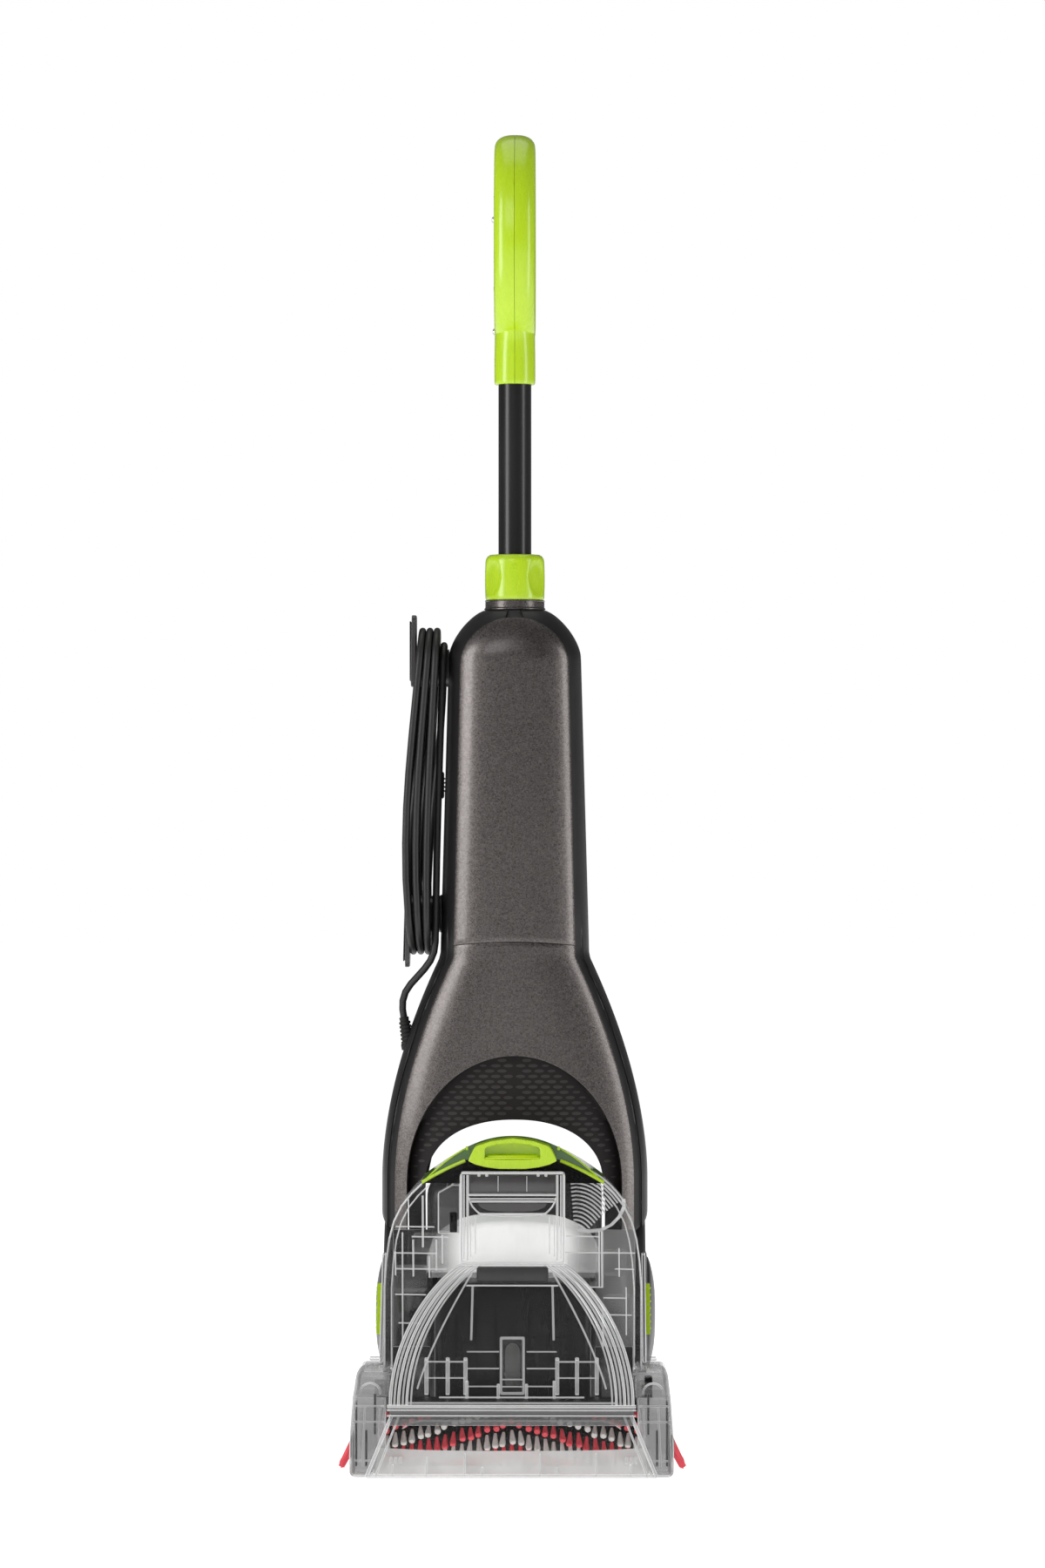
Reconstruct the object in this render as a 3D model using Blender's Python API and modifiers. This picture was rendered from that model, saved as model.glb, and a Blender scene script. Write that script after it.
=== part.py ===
"""Upright carpet cleaner: foot, wheels, reclining column, sliding loop handle, lift-off tank. Metres, +Z up.

The front of the machine faces -Y, and the origin is on the floor at the middle of its footprint.
"""

import math

import bmesh
import bpy
from mathutils import Matrix, Vector

# ---- driving dimensions -------------------------------------------------------------------------------------
GAP = 0.0003
DEPTH = 0.412

WHEEL_RADIUS = 0.107
WHEEL_INNER_X = 0.0985
WHEEL_WIDTH = 0.0245
AXLE_RADIUS = 0.005
RUNNING_CLEARANCE = 0.0006
WHEEL_CLEARANCE = 0.006
COVER_CLEARANCE = 0.002

HOOD_HALF_WIDTH = 0.134
HOOD_HEIGHT = 0.087
HOOD_WALL = 0.0025
HOOD_LENGTH = 0.121
HOOD_LIFT = 0.003
WINDOW_HEIGHT = 0.053
DUCT_FOOT_HALF_WIDTH = 0.100
DUCT_HEAD_HALF_WIDTH = 0.0432
DUCT_TOP_Z = 0.170
DUCT_WALL = 0.002
DUCT_DEPTH = 0.022
WINDOW_LEAN = 0.0045
BAR_HEIGHT = 0.008
EDGE_BRISTLE_REACH = 0.0095

BRUSH_SETBACK = 0.0505
BRUSH_LENGTH = 0.224
BRUSH_CORE_RADIUS = 0.0165
BRISTLE_RADIUS = 0.0285
BRISTLE_FLOOR_CLEARANCE = 0.002
BRUSH_PULLEY_RADIUS = 0.013
MOTOR_PULLEY_RADIUS = 0.009
PULLEY_WIDTH = 0.006
BELT_THICKNESS = 0.0015

CHASSIS_Z = 0.012
CHASSIS_HEIGHT = 0.018
CHASSIS_WALL = 0.003
CHASSIS_HALF_WIDTH = 0.1165
CHASSIS_FRONT_SETBACK = 0.084
HOUSING_HALF_WIDTH = 0.0755
HOUSING_TOP_Z = 0.232
HOUSING_LENGTH = 0.170
HOUSING_WALL = 0.003
HUMP_HALF_WIDTH = 0.066
HUMP_TOP_Z = 0.155
BRUSH_MOTOR_RADIUS = 0.020
BRUSH_MOTOR_LENGTH = 0.100
SUCTION_MOTOR_RADIUS = 0.036
SUCTION_MOTOR_HEIGHT = 0.110

TANK_HALF_WIDTH = 0.108
TANK_TO_CHASSIS = 0.010
TANK_TO_WHEEL = 0.004
TANK_BOTTOM_Z = 0.075
TANK_WALL = 0.0025
CHAMBER_INSET = 0.008
CHIMNEY_HALF_WIDTH = 0.044
CHIMNEY_TOP_Z = 0.2475
CHIMNEY_DEPTH = 0.0235
LID_THICKNESS = 0.0085
LID_TOP_Z = 0.2772
LID_END_Z = 0.2375
LID_HALF_WIDTH = 0.0765

AXLE_TO_COLUMN = 0.059
COLUMN_HALF_DEPTH = 0.045
COLUMN_TOP_HALF_WIDTH = 0.0576
COLUMN_BOTTOM_HALF_WIDTH = 0.0648
BODY_HALF_WIDTH = 0.1155
SHELL_WALL = 0.003
COVER_WALL = 0.0025
NECK_RADIUS = 0.0265
NECK_Z = 0.7239
SHOULDER_Z = 0.683
SEAM_Z = 0.4333
WAIST_Z = 0.4236
BODY_WIDEST_Z = 0.2318
BODY_BOTTOM_Z = 0.176
ARCH_TOP_Z = 0.3388
ARCH_HALF_WIDTH = 0.0930
ARCH_SPRING_Z = 0.228
OPENING_TOP_Z = 0.2832
OPENING_HALF_WIDTH = 0.0775
OPENING_SPRING_Z = 0.226
ARCH_RECESS = 0.010
ARM_THICKNESS = 0.014

TUBE_RADIUS = 0.0143
TUBE_LENGTH = 0.406
COLLAR_RADIUS = 0.0260
COLLAR_HEIGHT = 0.0394
GRIP_BOTTOM_Z = 0.9203
HANDLE_TOP_Z = 1.139
GRIP_HALF_WIDTH = 0.0178
LOOP_HALF_DEPTH = 0.062
LOOP_BAR = 0.026
LOOP_CENTRE_SHIFT = 0.012
TRIGGER_WIDTH = 0.010

CORD_DIAMETER = 0.0062
CORD_PITCH = 0.00628
HANK_COLUMNS = 4
HANK_LAYERS = 3
HANK_FOLD_RADIUS = 0.0200
UPPER_HOOK_Z = 0.6735
LOWER_HOOK_Z = 0.4600
HOOK_PLATE = 0.0040
HOOK_REACH = 0.046
GLAND_Z = 0.3465
SWITCH_Z = 0.640
SWITCH_WIDTH = 0.020
SWITCH_HEIGHT = 0.024

# ---- places that follow from the sizes ----------------------------------------------------------------------
FRONT_Y = -DEPTH / 2
AXLE = Vector((0.0, DEPTH / 2 - WHEEL_RADIUS, WHEEL_RADIUS))
BRUSH = Vector((0.0, FRONT_Y + BRUSH_SETBACK, BRISTLE_RADIUS + BRISTLE_FLOOR_CLEARANCE))
CHASSIS_FRONT_Y = FRONT_Y + CHASSIS_FRONT_SETBACK
CHASSIS_TOP_Z = CHASSIS_Z + CHASSIS_HEIGHT
COLUMN_Y = AXLE.y - AXLE_TO_COLUMN
TANK_BACK_Y = AXLE.y - WHEEL_RADIUS - TANK_TO_WHEEL
HOUSING_FRONT_Y = TANK_BACK_Y + 0.014
HOUSING_BACK_Y = HOUSING_FRONT_Y + HOUSING_LENGTH
TANK_FRONT_Y = CHASSIS_FRONT_Y + TANK_TO_CHASSIS
HOOD_BACK_Y = FRONT_Y + HOOD_LENGTH
CHIMNEY_FRONT_Y = TANK_FRONT_Y - GAP - CHIMNEY_DEPTH
DUCT_SETBACK = CHIMNEY_FRONT_Y + GAP - FRONT_Y - WINDOW_LEAN
CUP_HALF_WIDTH = 0.037
CUP_FRONT_Y = TANK_FRONT_Y - 0.020
CUP_BACK_Y = TANK_FRONT_Y + 0.012
DUCT_BOTTOM_Z = WINDOW_HEIGHT + BAR_HEIGHT + 2 * GAP
BRUSH_MOTOR = Vector((0.0, CHASSIS_FRONT_Y + CHASSIS_WALL + BRUSH_MOTOR_RADIUS + 0.004,
                      CHASSIS_TOP_Z + BRUSH_MOTOR_RADIUS + 0.002))
PULLEY_X = HOOD_HALF_WIDTH - HOOD_WALL - PULLEY_WIDTH - 0.002
COLLAR_Z = NECK_Z + 0.0091
COLLAR_TOP_Z = COLLAR_Z + COLLAR_HEIGHT
COLUMN_TAPER = (COLUMN_BOTTOM_HALF_WIDTH - COLUMN_TOP_HALF_WIDTH) / (SHOULDER_Z - WAIST_Z)
HANK_WIDTH = HANK_COLUMNS * CORD_PITCH
HANK_OUTER_RADIUS = HANK_FOLD_RADIUS - CORD_DIAMETER / 2 + HANK_LAYERS * CORD_PITCH
POST_RADIUS = HANK_FOLD_RADIUS - CORD_DIAMETER / 2 - GAP
TRIGGER_SLOT_Y = COLUMN_Y + LOOP_CENTRE_SHIFT + LOOP_HALF_DEPTH - LOOP_BAR - 0.006
TRIGGER_PIVOT = Vector((0.0, TRIGGER_SLOT_Y + 0.012, 1.072))
HOSE_RADIUS = 0.0035
SPRAY_Z = 0.088
PUMP_FRONT_Y = CHASSIS_FRONT_Y + 0.056
LEAD_POINTS = [
    Vector((-0.0965, COLUMN_Y - 0.0030, 0.3700)),
    Vector((-0.0976, COLUMN_Y - 0.0034, 0.3770)),
    Vector((-0.0974, COLUMN_Y - 0.0048, 0.3845)),
    Vector((-0.0950, COLUMN_Y - 0.0069, 0.3922)),
    Vector((-0.0903, COLUMN_Y - 0.0097, 0.3993)),
    Vector((-0.0842, COLUMN_Y - 0.0128, 0.4060)),
    Vector((-0.0782, COLUMN_Y - 0.0157, 0.4127)),
    Vector((-0.0731, COLUMN_Y - 0.0181, 0.4198)),
    Vector((-0.0699, COLUMN_Y - 0.0196, 0.4275)),
]

parts = None
cutters = None


# ---- helpers ------------------------------------------------------------------------------------------------
def start_scene():
    """Clears the scene and makes the collections for the pieces and for the cutters."""
    global parts, cutters
    for old in list(bpy.data.objects):
        bpy.data.objects.remove(old)
    parts = bpy.data.collections.new("carpet_cleaner")
    cutters = bpy.data.collections.new("cutters")
    bpy.context.scene.collection.children.link(parts)
    bpy.context.scene.collection.children.link(cutters)


def finish_of(name, color, roughness, metallic=0.0, alpha=1.0):
    """A Principled material of one piece."""
    material = bpy.data.materials.new(name)
    material.use_nodes = True
    shader = material.node_tree.nodes["Principled BSDF"]
    shader.inputs["Base Color"].default_value = (*color, 1.0)
    shader.inputs["Roughness"].default_value = roughness
    shader.inputs["Metallic"].default_value = metallic
    shader.inputs["Alpha"].default_value = alpha
    return material


BLACK = ((0.018, 0.017, 0.018), 0.42)
RUBBER = ((0.02, 0.02, 0.02), 0.8)
GREEN = ((0.42, 0.60, 0.02), 0.35)
DARK_GREEN = ((0.10, 0.22, 0.02), 0.35)
GREY_METALLIC = ((0.16, 0.15, 0.145), 0.38, 0.6)
CLEAR = ((0.85, 0.87, 0.88), 0.08, 0.0, 0.35)
FROSTED = ((0.80, 0.80, 0.78), 0.4)
STEEL = ((0.55, 0.55, 0.56), 0.3, 1.0)
RED = ((0.75, 0.07, 0.10), 0.6)
GREY = ((0.25, 0.24, 0.24), 0.5)


def place(name, mesh, look, collection=None):
    """Puts a mesh in the scene as a named piece with its own material."""
    piece = bpy.data.objects.new(name, mesh)
    (collection or parts).objects.link(piece)
    if look:
        mesh.materials.append(finish_of(name, *look))
    mesh.shade_smooth()
    mesh.set_sharp_from_angle(angle=math.radians(35))
    return piece


def mesh_from(build, name):
    """Makes a mesh by letting build fill a bmesh, with its faces turned outwards."""
    bm = bmesh.new()
    build(bm)
    bmesh.ops.remove_doubles(bm, verts=bm.verts, dist=1e-6)
    bmesh.ops.recalc_face_normals(bm, faces=bm.faces)
    mesh = bpy.data.meshes.new(name)
    bm.to_mesh(mesh)
    bm.free()
    return mesh


def box(name, low, high, look, bevel=0.0, collection=None):
    """A box between two corners, with rounded edges."""
    def build(bm):
        bmesh.ops.create_cube(bm, size=1.0)
        size = Vector(high) - Vector(low)
        bmesh.ops.scale(bm, verts=bm.verts, vec=size)
        bmesh.ops.translate(bm, verts=bm.verts, vec=(Vector(low) + Vector(high)) / 2)
    piece = place(name, mesh_from(build, name), look, collection)
    if bevel:
        round_edges(piece, bevel)
    return piece


def round_edges(piece, width, segments=2, angle=35):
    bevel = piece.modifiers.new("round_edges", "BEVEL")
    bevel.width = width
    bevel.segments = segments
    bevel.limit_method = "ANGLE"
    bevel.angle_limit = math.radians(angle)
    return bevel


AXIS_TURN = {
    "Z": Matrix.Identity(3),
    "X": Matrix.Rotation(math.radians(90), 3, "Y"),
    "Y": Matrix.Rotation(math.radians(-90), 3, "X"),
}


def turned(name, profile, centre, axis, look, steps=32, collection=None):
    """A turned solid: profile is a closed list of (radius, distance along the axis)."""
    def build(bm):
        ring = [bm.verts.new((radius, 0.0, along)) for radius, along in profile]
        edges = [bm.edges.new((ring[i], ring[(i + 1) % len(ring)])) for i in range(len(ring))]
        bmesh.ops.spin(bm, geom=ring + edges, cent=(0, 0, 0), axis=(0, 0, 1),
                       angle=math.tau, steps=steps, use_merge=True)
        bmesh.ops.remove_doubles(bm, verts=bm.verts, dist=1e-6)
        bmesh.ops.rotate(bm, verts=bm.verts, cent=(0, 0, 0), matrix=AXIS_TURN[axis])
        bmesh.ops.translate(bm, verts=bm.verts, vec=centre)
    return place(name, mesh_from(build, name), look, collection)


def rod(name, radius, low, high, centre, axis, look, steps=32, collection=None):
    """A plain cylinder from low to high along an axis through centre."""
    def build(bm):
        bmesh.ops.create_cone(bm, cap_ends=True, segments=steps, radius1=radius, radius2=radius, depth=high - low)
        bmesh.ops.translate(bm, verts=bm.verts, vec=(0, 0, (low + high) / 2))
        bmesh.ops.rotate(bm, verts=bm.verts, cent=(0, 0, 0), matrix=AXIS_TURN[axis])
        bmesh.ops.translate(bm, verts=bm.verts, vec=centre)
    return place(name, mesh_from(build, name), look, collection)


def washer(name, inner, outer, low, high, centre, axis, look, steps=32, collection=None):
    profile = [(inner, low), (outer, low), (outer, high), (inner, high)]
    return turned(name, profile, centre, axis, look, steps, collection)


def plate(name, outline, normal, low, high, look, bevel=0.0, collection=None):
    """A flat outline, given in the two axes across normal, made thick from low to high along normal."""
    def point(across, along, level):
        if normal == "X":
            return (level, across, along)
        if normal == "Y":
            return (across, level, along)
        return (across, along, level)

    def build(bm):
        face = bm.faces.new([bm.verts.new(point(a, b, low)) for a, b in outline])
        grown = bmesh.ops.extrude_face_region(bm, geom=[face])["geom"]
        moved = [item for item in grown if isinstance(item, bmesh.types.BMVert)]
        bmesh.ops.translate(bm, verts=moved, vec=Vector(point(0, 0, high)) - Vector(point(0, 0, low)))
    piece = place(name, mesh_from(build, name), look, collection)
    if bevel:
        round_edges(piece, bevel)
    return piece


def skin(name, rows, look, closed=False, wall=0.0, outward=-1.0, collection=None):
    """A sheet through rows of points; wall gives it a thickness, inward for outward = -1."""
    mesh = bpy.data.meshes.new(name)
    bm = bmesh.new()
    grid = [[bm.verts.new(point) for point in row] for row in rows]
    for upper, lower in zip(grid, grid[1:]):
        last = len(upper) if closed else len(upper) - 1
        for i in range(last):
            j = (i + 1) % len(upper)
            bm.faces.new((upper[i], upper[j], lower[j], lower[i]))
    bmesh.ops.remove_doubles(bm, verts=bm.verts, dist=1e-6)
    bm.to_mesh(mesh)
    bm.free()
    piece = place(name, mesh, look, collection)
    if wall:
        thick = piece.modifiers.new("wall", "SOLIDIFY")
        thick.thickness = wall
        thick.offset = outward
        thick.use_even_offset = True
    return piece


def mirror_x(piece):
    """Completes a half that is open at the plane X = 0."""
    mirror = piece.modifiers.new("other_half", "MIRROR")
    mirror.merge_threshold = 0.0001
    mirror.use_clip = True
    piece.modifiers.move(len(piece.modifiers) - 1, 0)


def cut(piece, cutter, operation="DIFFERENCE"):
    cutter.hide_render = True
    cutter.display_type = "WIRE"
    boolean = piece.modifiers.new("cut_" + cutter.name, "BOOLEAN")
    boolean.operation = operation
    boolean.object = cutter
    boolean.solver = "EXACT"


def pipe(name, points, radius, look, sides=3):
    """A round wire or hose through the points."""
    curve = bpy.data.curves.new(name, "CURVE")
    curve.dimensions = "3D"
    curve.bevel_depth = radius
    curve.bevel_resolution = sides
    curve.use_fill_caps = True
    spline = curve.splines.new("POLY")
    spline.points.add(len(points) - 1)
    for target, point in zip(spline.points, points):
        target.co = (*point, 1.0)
    piece = bpy.data.objects.new(name, curve)
    parts.objects.link(piece)
    curve.materials.append(finish_of(name, *look))
    return piece


def smooth_route(points, spacing):
    """Points at even spacing on a smooth curve through the given points."""
    knots = [Vector(point) for point in points]
    knots = [2 * knots[0] - knots[1]] + knots + [2 * knots[-1] - knots[-2]]
    dense = []
    for a, b, c, d in zip(knots, knots[1:], knots[2:], knots[3:]):
        for step in range(24):
            t = step / 24
            dense.append(0.5 * (2 * b + (c - a) * t + (2 * a - 5 * b + 4 * c - d) * t ** 2
                                + (3 * b - a - 3 * c + d) * t ** 3))
    dense.append(knots[-2])
    lengths = [0.0]
    for a, b in zip(dense, dense[1:]):
        lengths.append(lengths[-1] + (b - a).length)
    count = max(2, round(lengths[-1] / spacing))
    route = []
    for i in range(count + 1):
        target = lengths[-1] * i / count
        j = max(k for k in range(len(dense)) if lengths[k] <= target + 1e-12)
        j = min(j, len(dense) - 2)
        share = (target - lengths[j]) / (lengths[j + 1] - lengths[j])
        route.append(dense[j].lerp(dense[j + 1], share))
    return route


def arc(centre, radius, start, end, steps):
    """Points on an arc in a plane, with its angles in degrees."""
    points = []
    for i in range(steps + 1):
        angle = math.radians(start + (end - start) * i / steps)
        points.append((centre[0] + radius * math.cos(angle), centre[1] + radius * math.sin(angle)))
    return points


def rounded_box(left, bottom, right, top, radius, steps=3):
    """A rectangle's outline with rounded corners."""
    return (arc((right - radius, bottom + radius), radius, -90, 0, steps)
            + arc((right - radius, top - radius), radius, 0, 90, steps)
            + arc((left + radius, top - radius), radius, 90, 180, steps)
            + arc((left + radius, bottom + radius), radius, 180, 270, steps))


# ---- the upright's outer form -------------------------------------------------------------------------------
def body_half_width(z):
    """Half the width of the upright's dark outline at a height."""
    if z >= SHOULDER_Z:
        rise = min((z - SHOULDER_Z) / (NECK_Z - SHOULDER_Z), 1.0)
        return NECK_RADIUS + (COLUMN_TOP_HALF_WIDTH - NECK_RADIUS) * (1 - rise ** 1.6) ** 0.74
    if z >= WAIST_Z:
        return COLUMN_TOP_HALF_WIDTH + COLUMN_TAPER * (SHOULDER_Z - z)
    fall = min((WAIST_Z - z) / (WAIST_Z - BODY_WIDEST_Z), 1.0)
    return COLUMN_BOTTOM_HALF_WIDTH + (BODY_HALF_WIDTH - COLUMN_BOTTOM_HALF_WIDTH) * (1 - (1 - fall) ** 1.8)


def body_half_depth(z):
    if z >= SHOULDER_Z:
        rise = min((z - SHOULDER_Z) / (NECK_Z - SHOULDER_Z), 1.0)
        return NECK_RADIUS + (COLUMN_HALF_DEPTH - NECK_RADIUS) * (1 - rise ** 1.6) ** 0.74
    return COLUMN_HALF_DEPTH


def body_power(z):
    """How square the section is: 2 is an ellipse."""
    rise = min(max((z - SHOULDER_Z) / (NECK_Z - SHOULDER_Z), 0.0), 1.0)
    return 2.6 - 0.6 * rise


def front_y(x, z, inset=0.0):
    """The front surface of the upright at a point seen from the front, moved in by inset."""
    power = body_power(z)
    share = min(abs(x) / (body_half_width(z) - inset), 1.0)
    return COLUMN_Y - (body_half_depth(z) - inset) * (1 - share ** power) ** (1 / power)


def cover_half_width(z):
    """Half the width of the grey front cover at a height."""
    top_centre_z = SHOULDER_Z - 0.008
    shoulder_width = 0.047
    if z >= top_centre_z:
        rise = min((z - top_centre_z) / 0.042, 1.0)
        return shoulder_width * math.sqrt(1 - rise * rise)
    if z >= WAIST_Z:
        return shoulder_width + 0.0057 * (top_centre_z - z) / (top_centre_z - WAIST_Z)
    return body_half_width(z) - 0.0121


def arch_half_width(z):
    """Half the width of the arch that the front cover leaves open; zero above its top."""
    rise = (z - ARCH_SPRING_Z) / (ARCH_TOP_Z - ARCH_SPRING_Z)
    if rise >= 1:
        return 0.0
    return ARCH_HALF_WIDTH * math.sqrt(1 - max(rise, 0.0) ** 2)


def opening_half_width(z):
    """Half the width of the way through under the column; zero above its top."""
    rise = (z - OPENING_SPRING_Z) / (OPENING_TOP_Z - OPENING_SPRING_Z)
    if rise >= 1:
        return 0.0
    return OPENING_HALF_WIDTH * (1 - max(rise, 0.0) ** 2.2) ** (1 / 2.2)


def heights(top, bottom, count):
    return [top + (bottom - top) * i / count for i in range(count + 1)]


def arched_heights(top, bottom, count):
    """Heights that crowd together under an arch's top, where its outline is flat."""
    return [top + (bottom - top) * (i / count) ** 2 for i in range(count + 1)]


def rear_shell():
    """The dark shell of the column and of the fork under it, open behind the front covers."""
    rows = []
    levels = heights(NECK_Z - GAP, SHOULDER_Z, 7) + heights(SHOULDER_Z, WAIST_Z, 3)[1:]
    levels += heights(WAIST_Z, BODY_WIDEST_Z, 12)[1:] + [BODY_BOTTOM_Z]
    for z in levels:
        power = body_power(z)
        half_width = body_half_width(z)
        half_depth = body_half_depth(z)
        front_edge = min(max((cover_half_width(z) - 0.004) / half_width, 0.20), 0.93)
        start = math.asin(front_edge ** (power / 2))
        row = []
        for i in range(25):
            angle = start + (math.tau - 2 * start) * i / 24
            across = math.sin(angle)
            back = -math.cos(angle)
            x = half_width * math.copysign(abs(across) ** (2 / power), across)
            y = COLUMN_Y + half_depth * math.copysign(abs(back) ** (2 / power), back)
            row.append((x, y, z))
        rows.append(row)
    shell = skin("rear_shell", rows, BLACK, wall=SHELL_WALL, outward=1.0)
    opening = [(opening_half_width(z), z) for z in arched_heights(OPENING_TOP_Z, OPENING_SPRING_Z, 8)[1:]]
    outline = [(0.0, OPENING_TOP_Z)] + opening + [(OPENING_HALF_WIDTH, 0.1), (-OPENING_HALF_WIDTH, 0.1)]
    outline += [(-x, z) for x, z in reversed(opening)]
    cut(shell, plate("way_through", outline, "Y", -0.05, 0.20, None, collection=cutters))
    wheel_space = WHEEL_RADIUS + WHEEL_CLEARANCE
    cut(shell, rod("wheel_space", wheel_space, -0.2, 0.2, AXLE, "X", None, 64, cutters))
    return shell


def front_cover_rows(inner, outer, levels, columns, inset):
    """The right half of a cover, from its inner edge to its outer edge, at each height."""
    rows = []
    for z in levels:
        row = []
        for i in range(columns + 1):
            x = inner(z) + (outer(z) - inner(z)) * i / columns
            row.append((x, front_y(x, z, inset), z))
        rows.append(row)
    return rows


def front_covers():
    """The grey metallic covers: one on the column, one that flares over the fork and leaves an arch open."""
    proud = -0.0006 - COVER_WALL
    top = SHOULDER_Z - 0.008 + 0.042
    upper_levels = arched_heights(top - 0.0002, SHOULDER_Z - 0.008, 8)
    upper_levels += heights(SHOULDER_Z - 0.008, SEAM_Z + GAP, 3)[1:]
    upper = skin("upper_front_cover", front_cover_rows(lambda z: 0.0, cover_half_width, upper_levels, 6, proud),
                 GREY_METALLIC, wall=COVER_WALL, outward=1.0)
    mirror_x(upper)
    lower_levels = [SEAM_Z - GAP, WAIST_Z] + heights(WAIST_Z, ARCH_TOP_Z, 5)[1:]
    lower_levels += arched_heights(ARCH_TOP_Z, ARCH_SPRING_Z, 10)[1:] + [0.205, BODY_BOTTOM_Z]
    lower = skin("lower_front_cover", front_cover_rows(arch_half_width, lower_edge, lower_levels, 6, proud),
                 GREY_METALLIC, wall=COVER_WALL, outward=1.0)
    mirror_x(lower)
    cut(lower, rod("cover_wheel_space", WHEEL_RADIUS + COVER_CLEARANCE, -0.2, 0.2, AXLE, "X", None, 64, cutters))


def lower_edge(z):
    return max(cover_half_width(z), arch_half_width(z) + 0.006)


def arch_panel():
    """The dark textured panel set back in the arch, down to the way through under the column."""
    def outer(z):
        return min(arch_half_width(min(z, ARCH_TOP_Z - 0.0004)) + 0.004, body_half_width(z) - 0.018)
    levels = arched_heights(ARCH_TOP_Z - 0.0004, OPENING_TOP_Z, 5)
    levels += arched_heights(OPENING_TOP_Z, OPENING_SPRING_Z, 6)[1:] + [0.215]
    rows = front_cover_rows(lambda z: opening_half_width(z) + (0.0 if z >= OPENING_TOP_Z else GAP),
                            outer, levels, 7, ARCH_RECESS)
    panel = skin("arch_panel", rows, BLACK, wall=0.0025)
    mirror_x(panel)


def neck_and_guide():
    """The grey ring on top of the column, and the guide that the handle tube slides in."""
    washer("neck_ring", TUBE_RADIUS + RUNNING_CLEARANCE, NECK_RADIUS, NECK_Z + GAP, COLLAR_Z - GAP,
           (0, COLUMN_Y, 0), "Z", GREY, 32)
    washer("handle_guide", TUBE_RADIUS + RUNNING_CLEARANCE, TUBE_RADIUS + 0.0035, 0.470, NECK_Z - GAP,
           (0, COLUMN_Y, 0), "Z", GREY, 24)


def pivot_arms():
    """The arms that carry the column on the axle, inboard of the wheels."""
    hole = AXLE_RADIUS + RUNNING_CLEARANCE
    knuckle = 0.017
    head_z = 0.262
    inner_x = HOUSING_HALF_WIDTH + 0.003
    for side, label in ((-1, "left"), (1, "right")):
        outline = arc((AXLE.y, AXLE.z), knuckle, -155, 20, 10)
        outline += [(COLUMN_Y + 0.0215, BODY_WIDEST_Z), (COLUMN_Y + 0.0215, head_z)]
        outline += [(COLUMN_Y - 0.010, head_z), (COLUMN_Y - 0.004, BODY_WIDEST_Z - 0.010)]
        low = inner_x if side > 0 else -inner_x - ARM_THICKNESS
        name = "pivot_arm_" + label
        arm = plate(name, outline, "X", low, low + ARM_THICKNESS, BLACK)
        cut(arm, rod("axle_hole_" + label, hole, -0.2, 0.2, AXLE, "X", None, 24, cutters))


def column():
    rear_shell()
    front_covers()
    arch_panel()
    neck_and_guide()
    pivot_arms()


# ---- handle -------------------------------------------------------------------------------------------------
def twist_collar():
    """The green collar that clamps the handle tube."""
    bore = TUBE_RADIUS + RUNNING_CLEARANCE
    chamfer = 0.004
    profile = [(bore, COLLAR_Z), (COLLAR_RADIUS, COLLAR_Z), (COLLAR_RADIUS, COLLAR_TOP_Z - 2 * chamfer),
               (COLLAR_RADIUS - chamfer, COLLAR_TOP_Z), (bore, COLLAR_TOP_Z)]
    turned("twist_collar", profile, (0, COLUMN_Y, 0), "Z", GREEN, 32)


def loop_outline(inset):
    """The loop's outline in the side view, as (y, z) points from its stem round over the top."""
    half_height = (HANDLE_TOP_Z - GRIP_BOTTOM_Z - 0.034) / 2
    centre = (COLUMN_Y + LOOP_CENTRE_SHIFT, HANDLE_TOP_Z - half_height)
    points = []
    for i in range(37):
        angle = math.radians(-90 + 360 * i / 36)
        points.append((centre[0] + (LOOP_HALF_DEPTH - inset) * math.cos(angle),
                       centre[1] + (half_height - inset) * math.sin(angle)))
    return points[:-1]


def handle():
    """The black tube and the green loop grip, which is two halves that meet on the machine's middle plane."""
    tube_top = GRIP_BOTTOM_Z + 0.046
    rod("handle_tube", TUBE_RADIUS, tube_top - TUBE_LENGTH, tube_top, (0, COLUMN_Y, 0), "Z", BLACK, 32)
    outer = loop_outline(0.0)
    stem = GRIP_HALF_WIDTH - 0.0004
    neck = 0.030
    outer = [point for point in outer if not (abs(point[0] - COLUMN_Y) < stem + 0.012
                                              and point[1] < GRIP_BOTTOM_Z + neck + 0.022)]
    start = max(range(len(outer)), key=lambda i: (outer[i][0] > COLUMN_Y) - outer[i][1])
    outer = outer[start:] + outer[:start]
    outline = [(COLUMN_Y - stem, GRIP_BOTTOM_Z + neck), (COLUMN_Y - stem, GRIP_BOTTOM_Z),
               (COLUMN_Y + stem, GRIP_BOTTOM_Z), (COLUMN_Y + stem, GRIP_BOTTOM_Z + neck)] + outer
    for side, label in ((-1, "left"), (1, "right")):
        low, high = (GAP / 2, GRIP_HALF_WIDTH) if side > 0 else (-GRIP_HALF_WIDTH, -GAP / 2)
        half = plate("grip_" + label, outline, "X", low, high, GREEN)
        cut(half, plate("loop_hole_" + label, loop_outline(LOOP_BAR), "X", -0.1, 0.1, None, collection=cutters))
        round_edges(half, 0.0055, 2, 50)
        cut(half, rod("tube_socket_" + label, TUBE_RADIUS + GAP, GRIP_BOTTOM_Z - 0.02, tube_top + GAP,
                      (0, COLUMN_Y, 0), "Z", None, 32, cutters))
        cut(half, box("trigger_slot_" + label, (-TRIGGER_WIDTH / 2 - GAP, TRIGGER_SLOT_Y, 1.010),
                      (TRIGGER_WIDTH / 2 + GAP, TRIGGER_SLOT_Y + 0.020, 1.082), None, collection=cutters))


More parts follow.
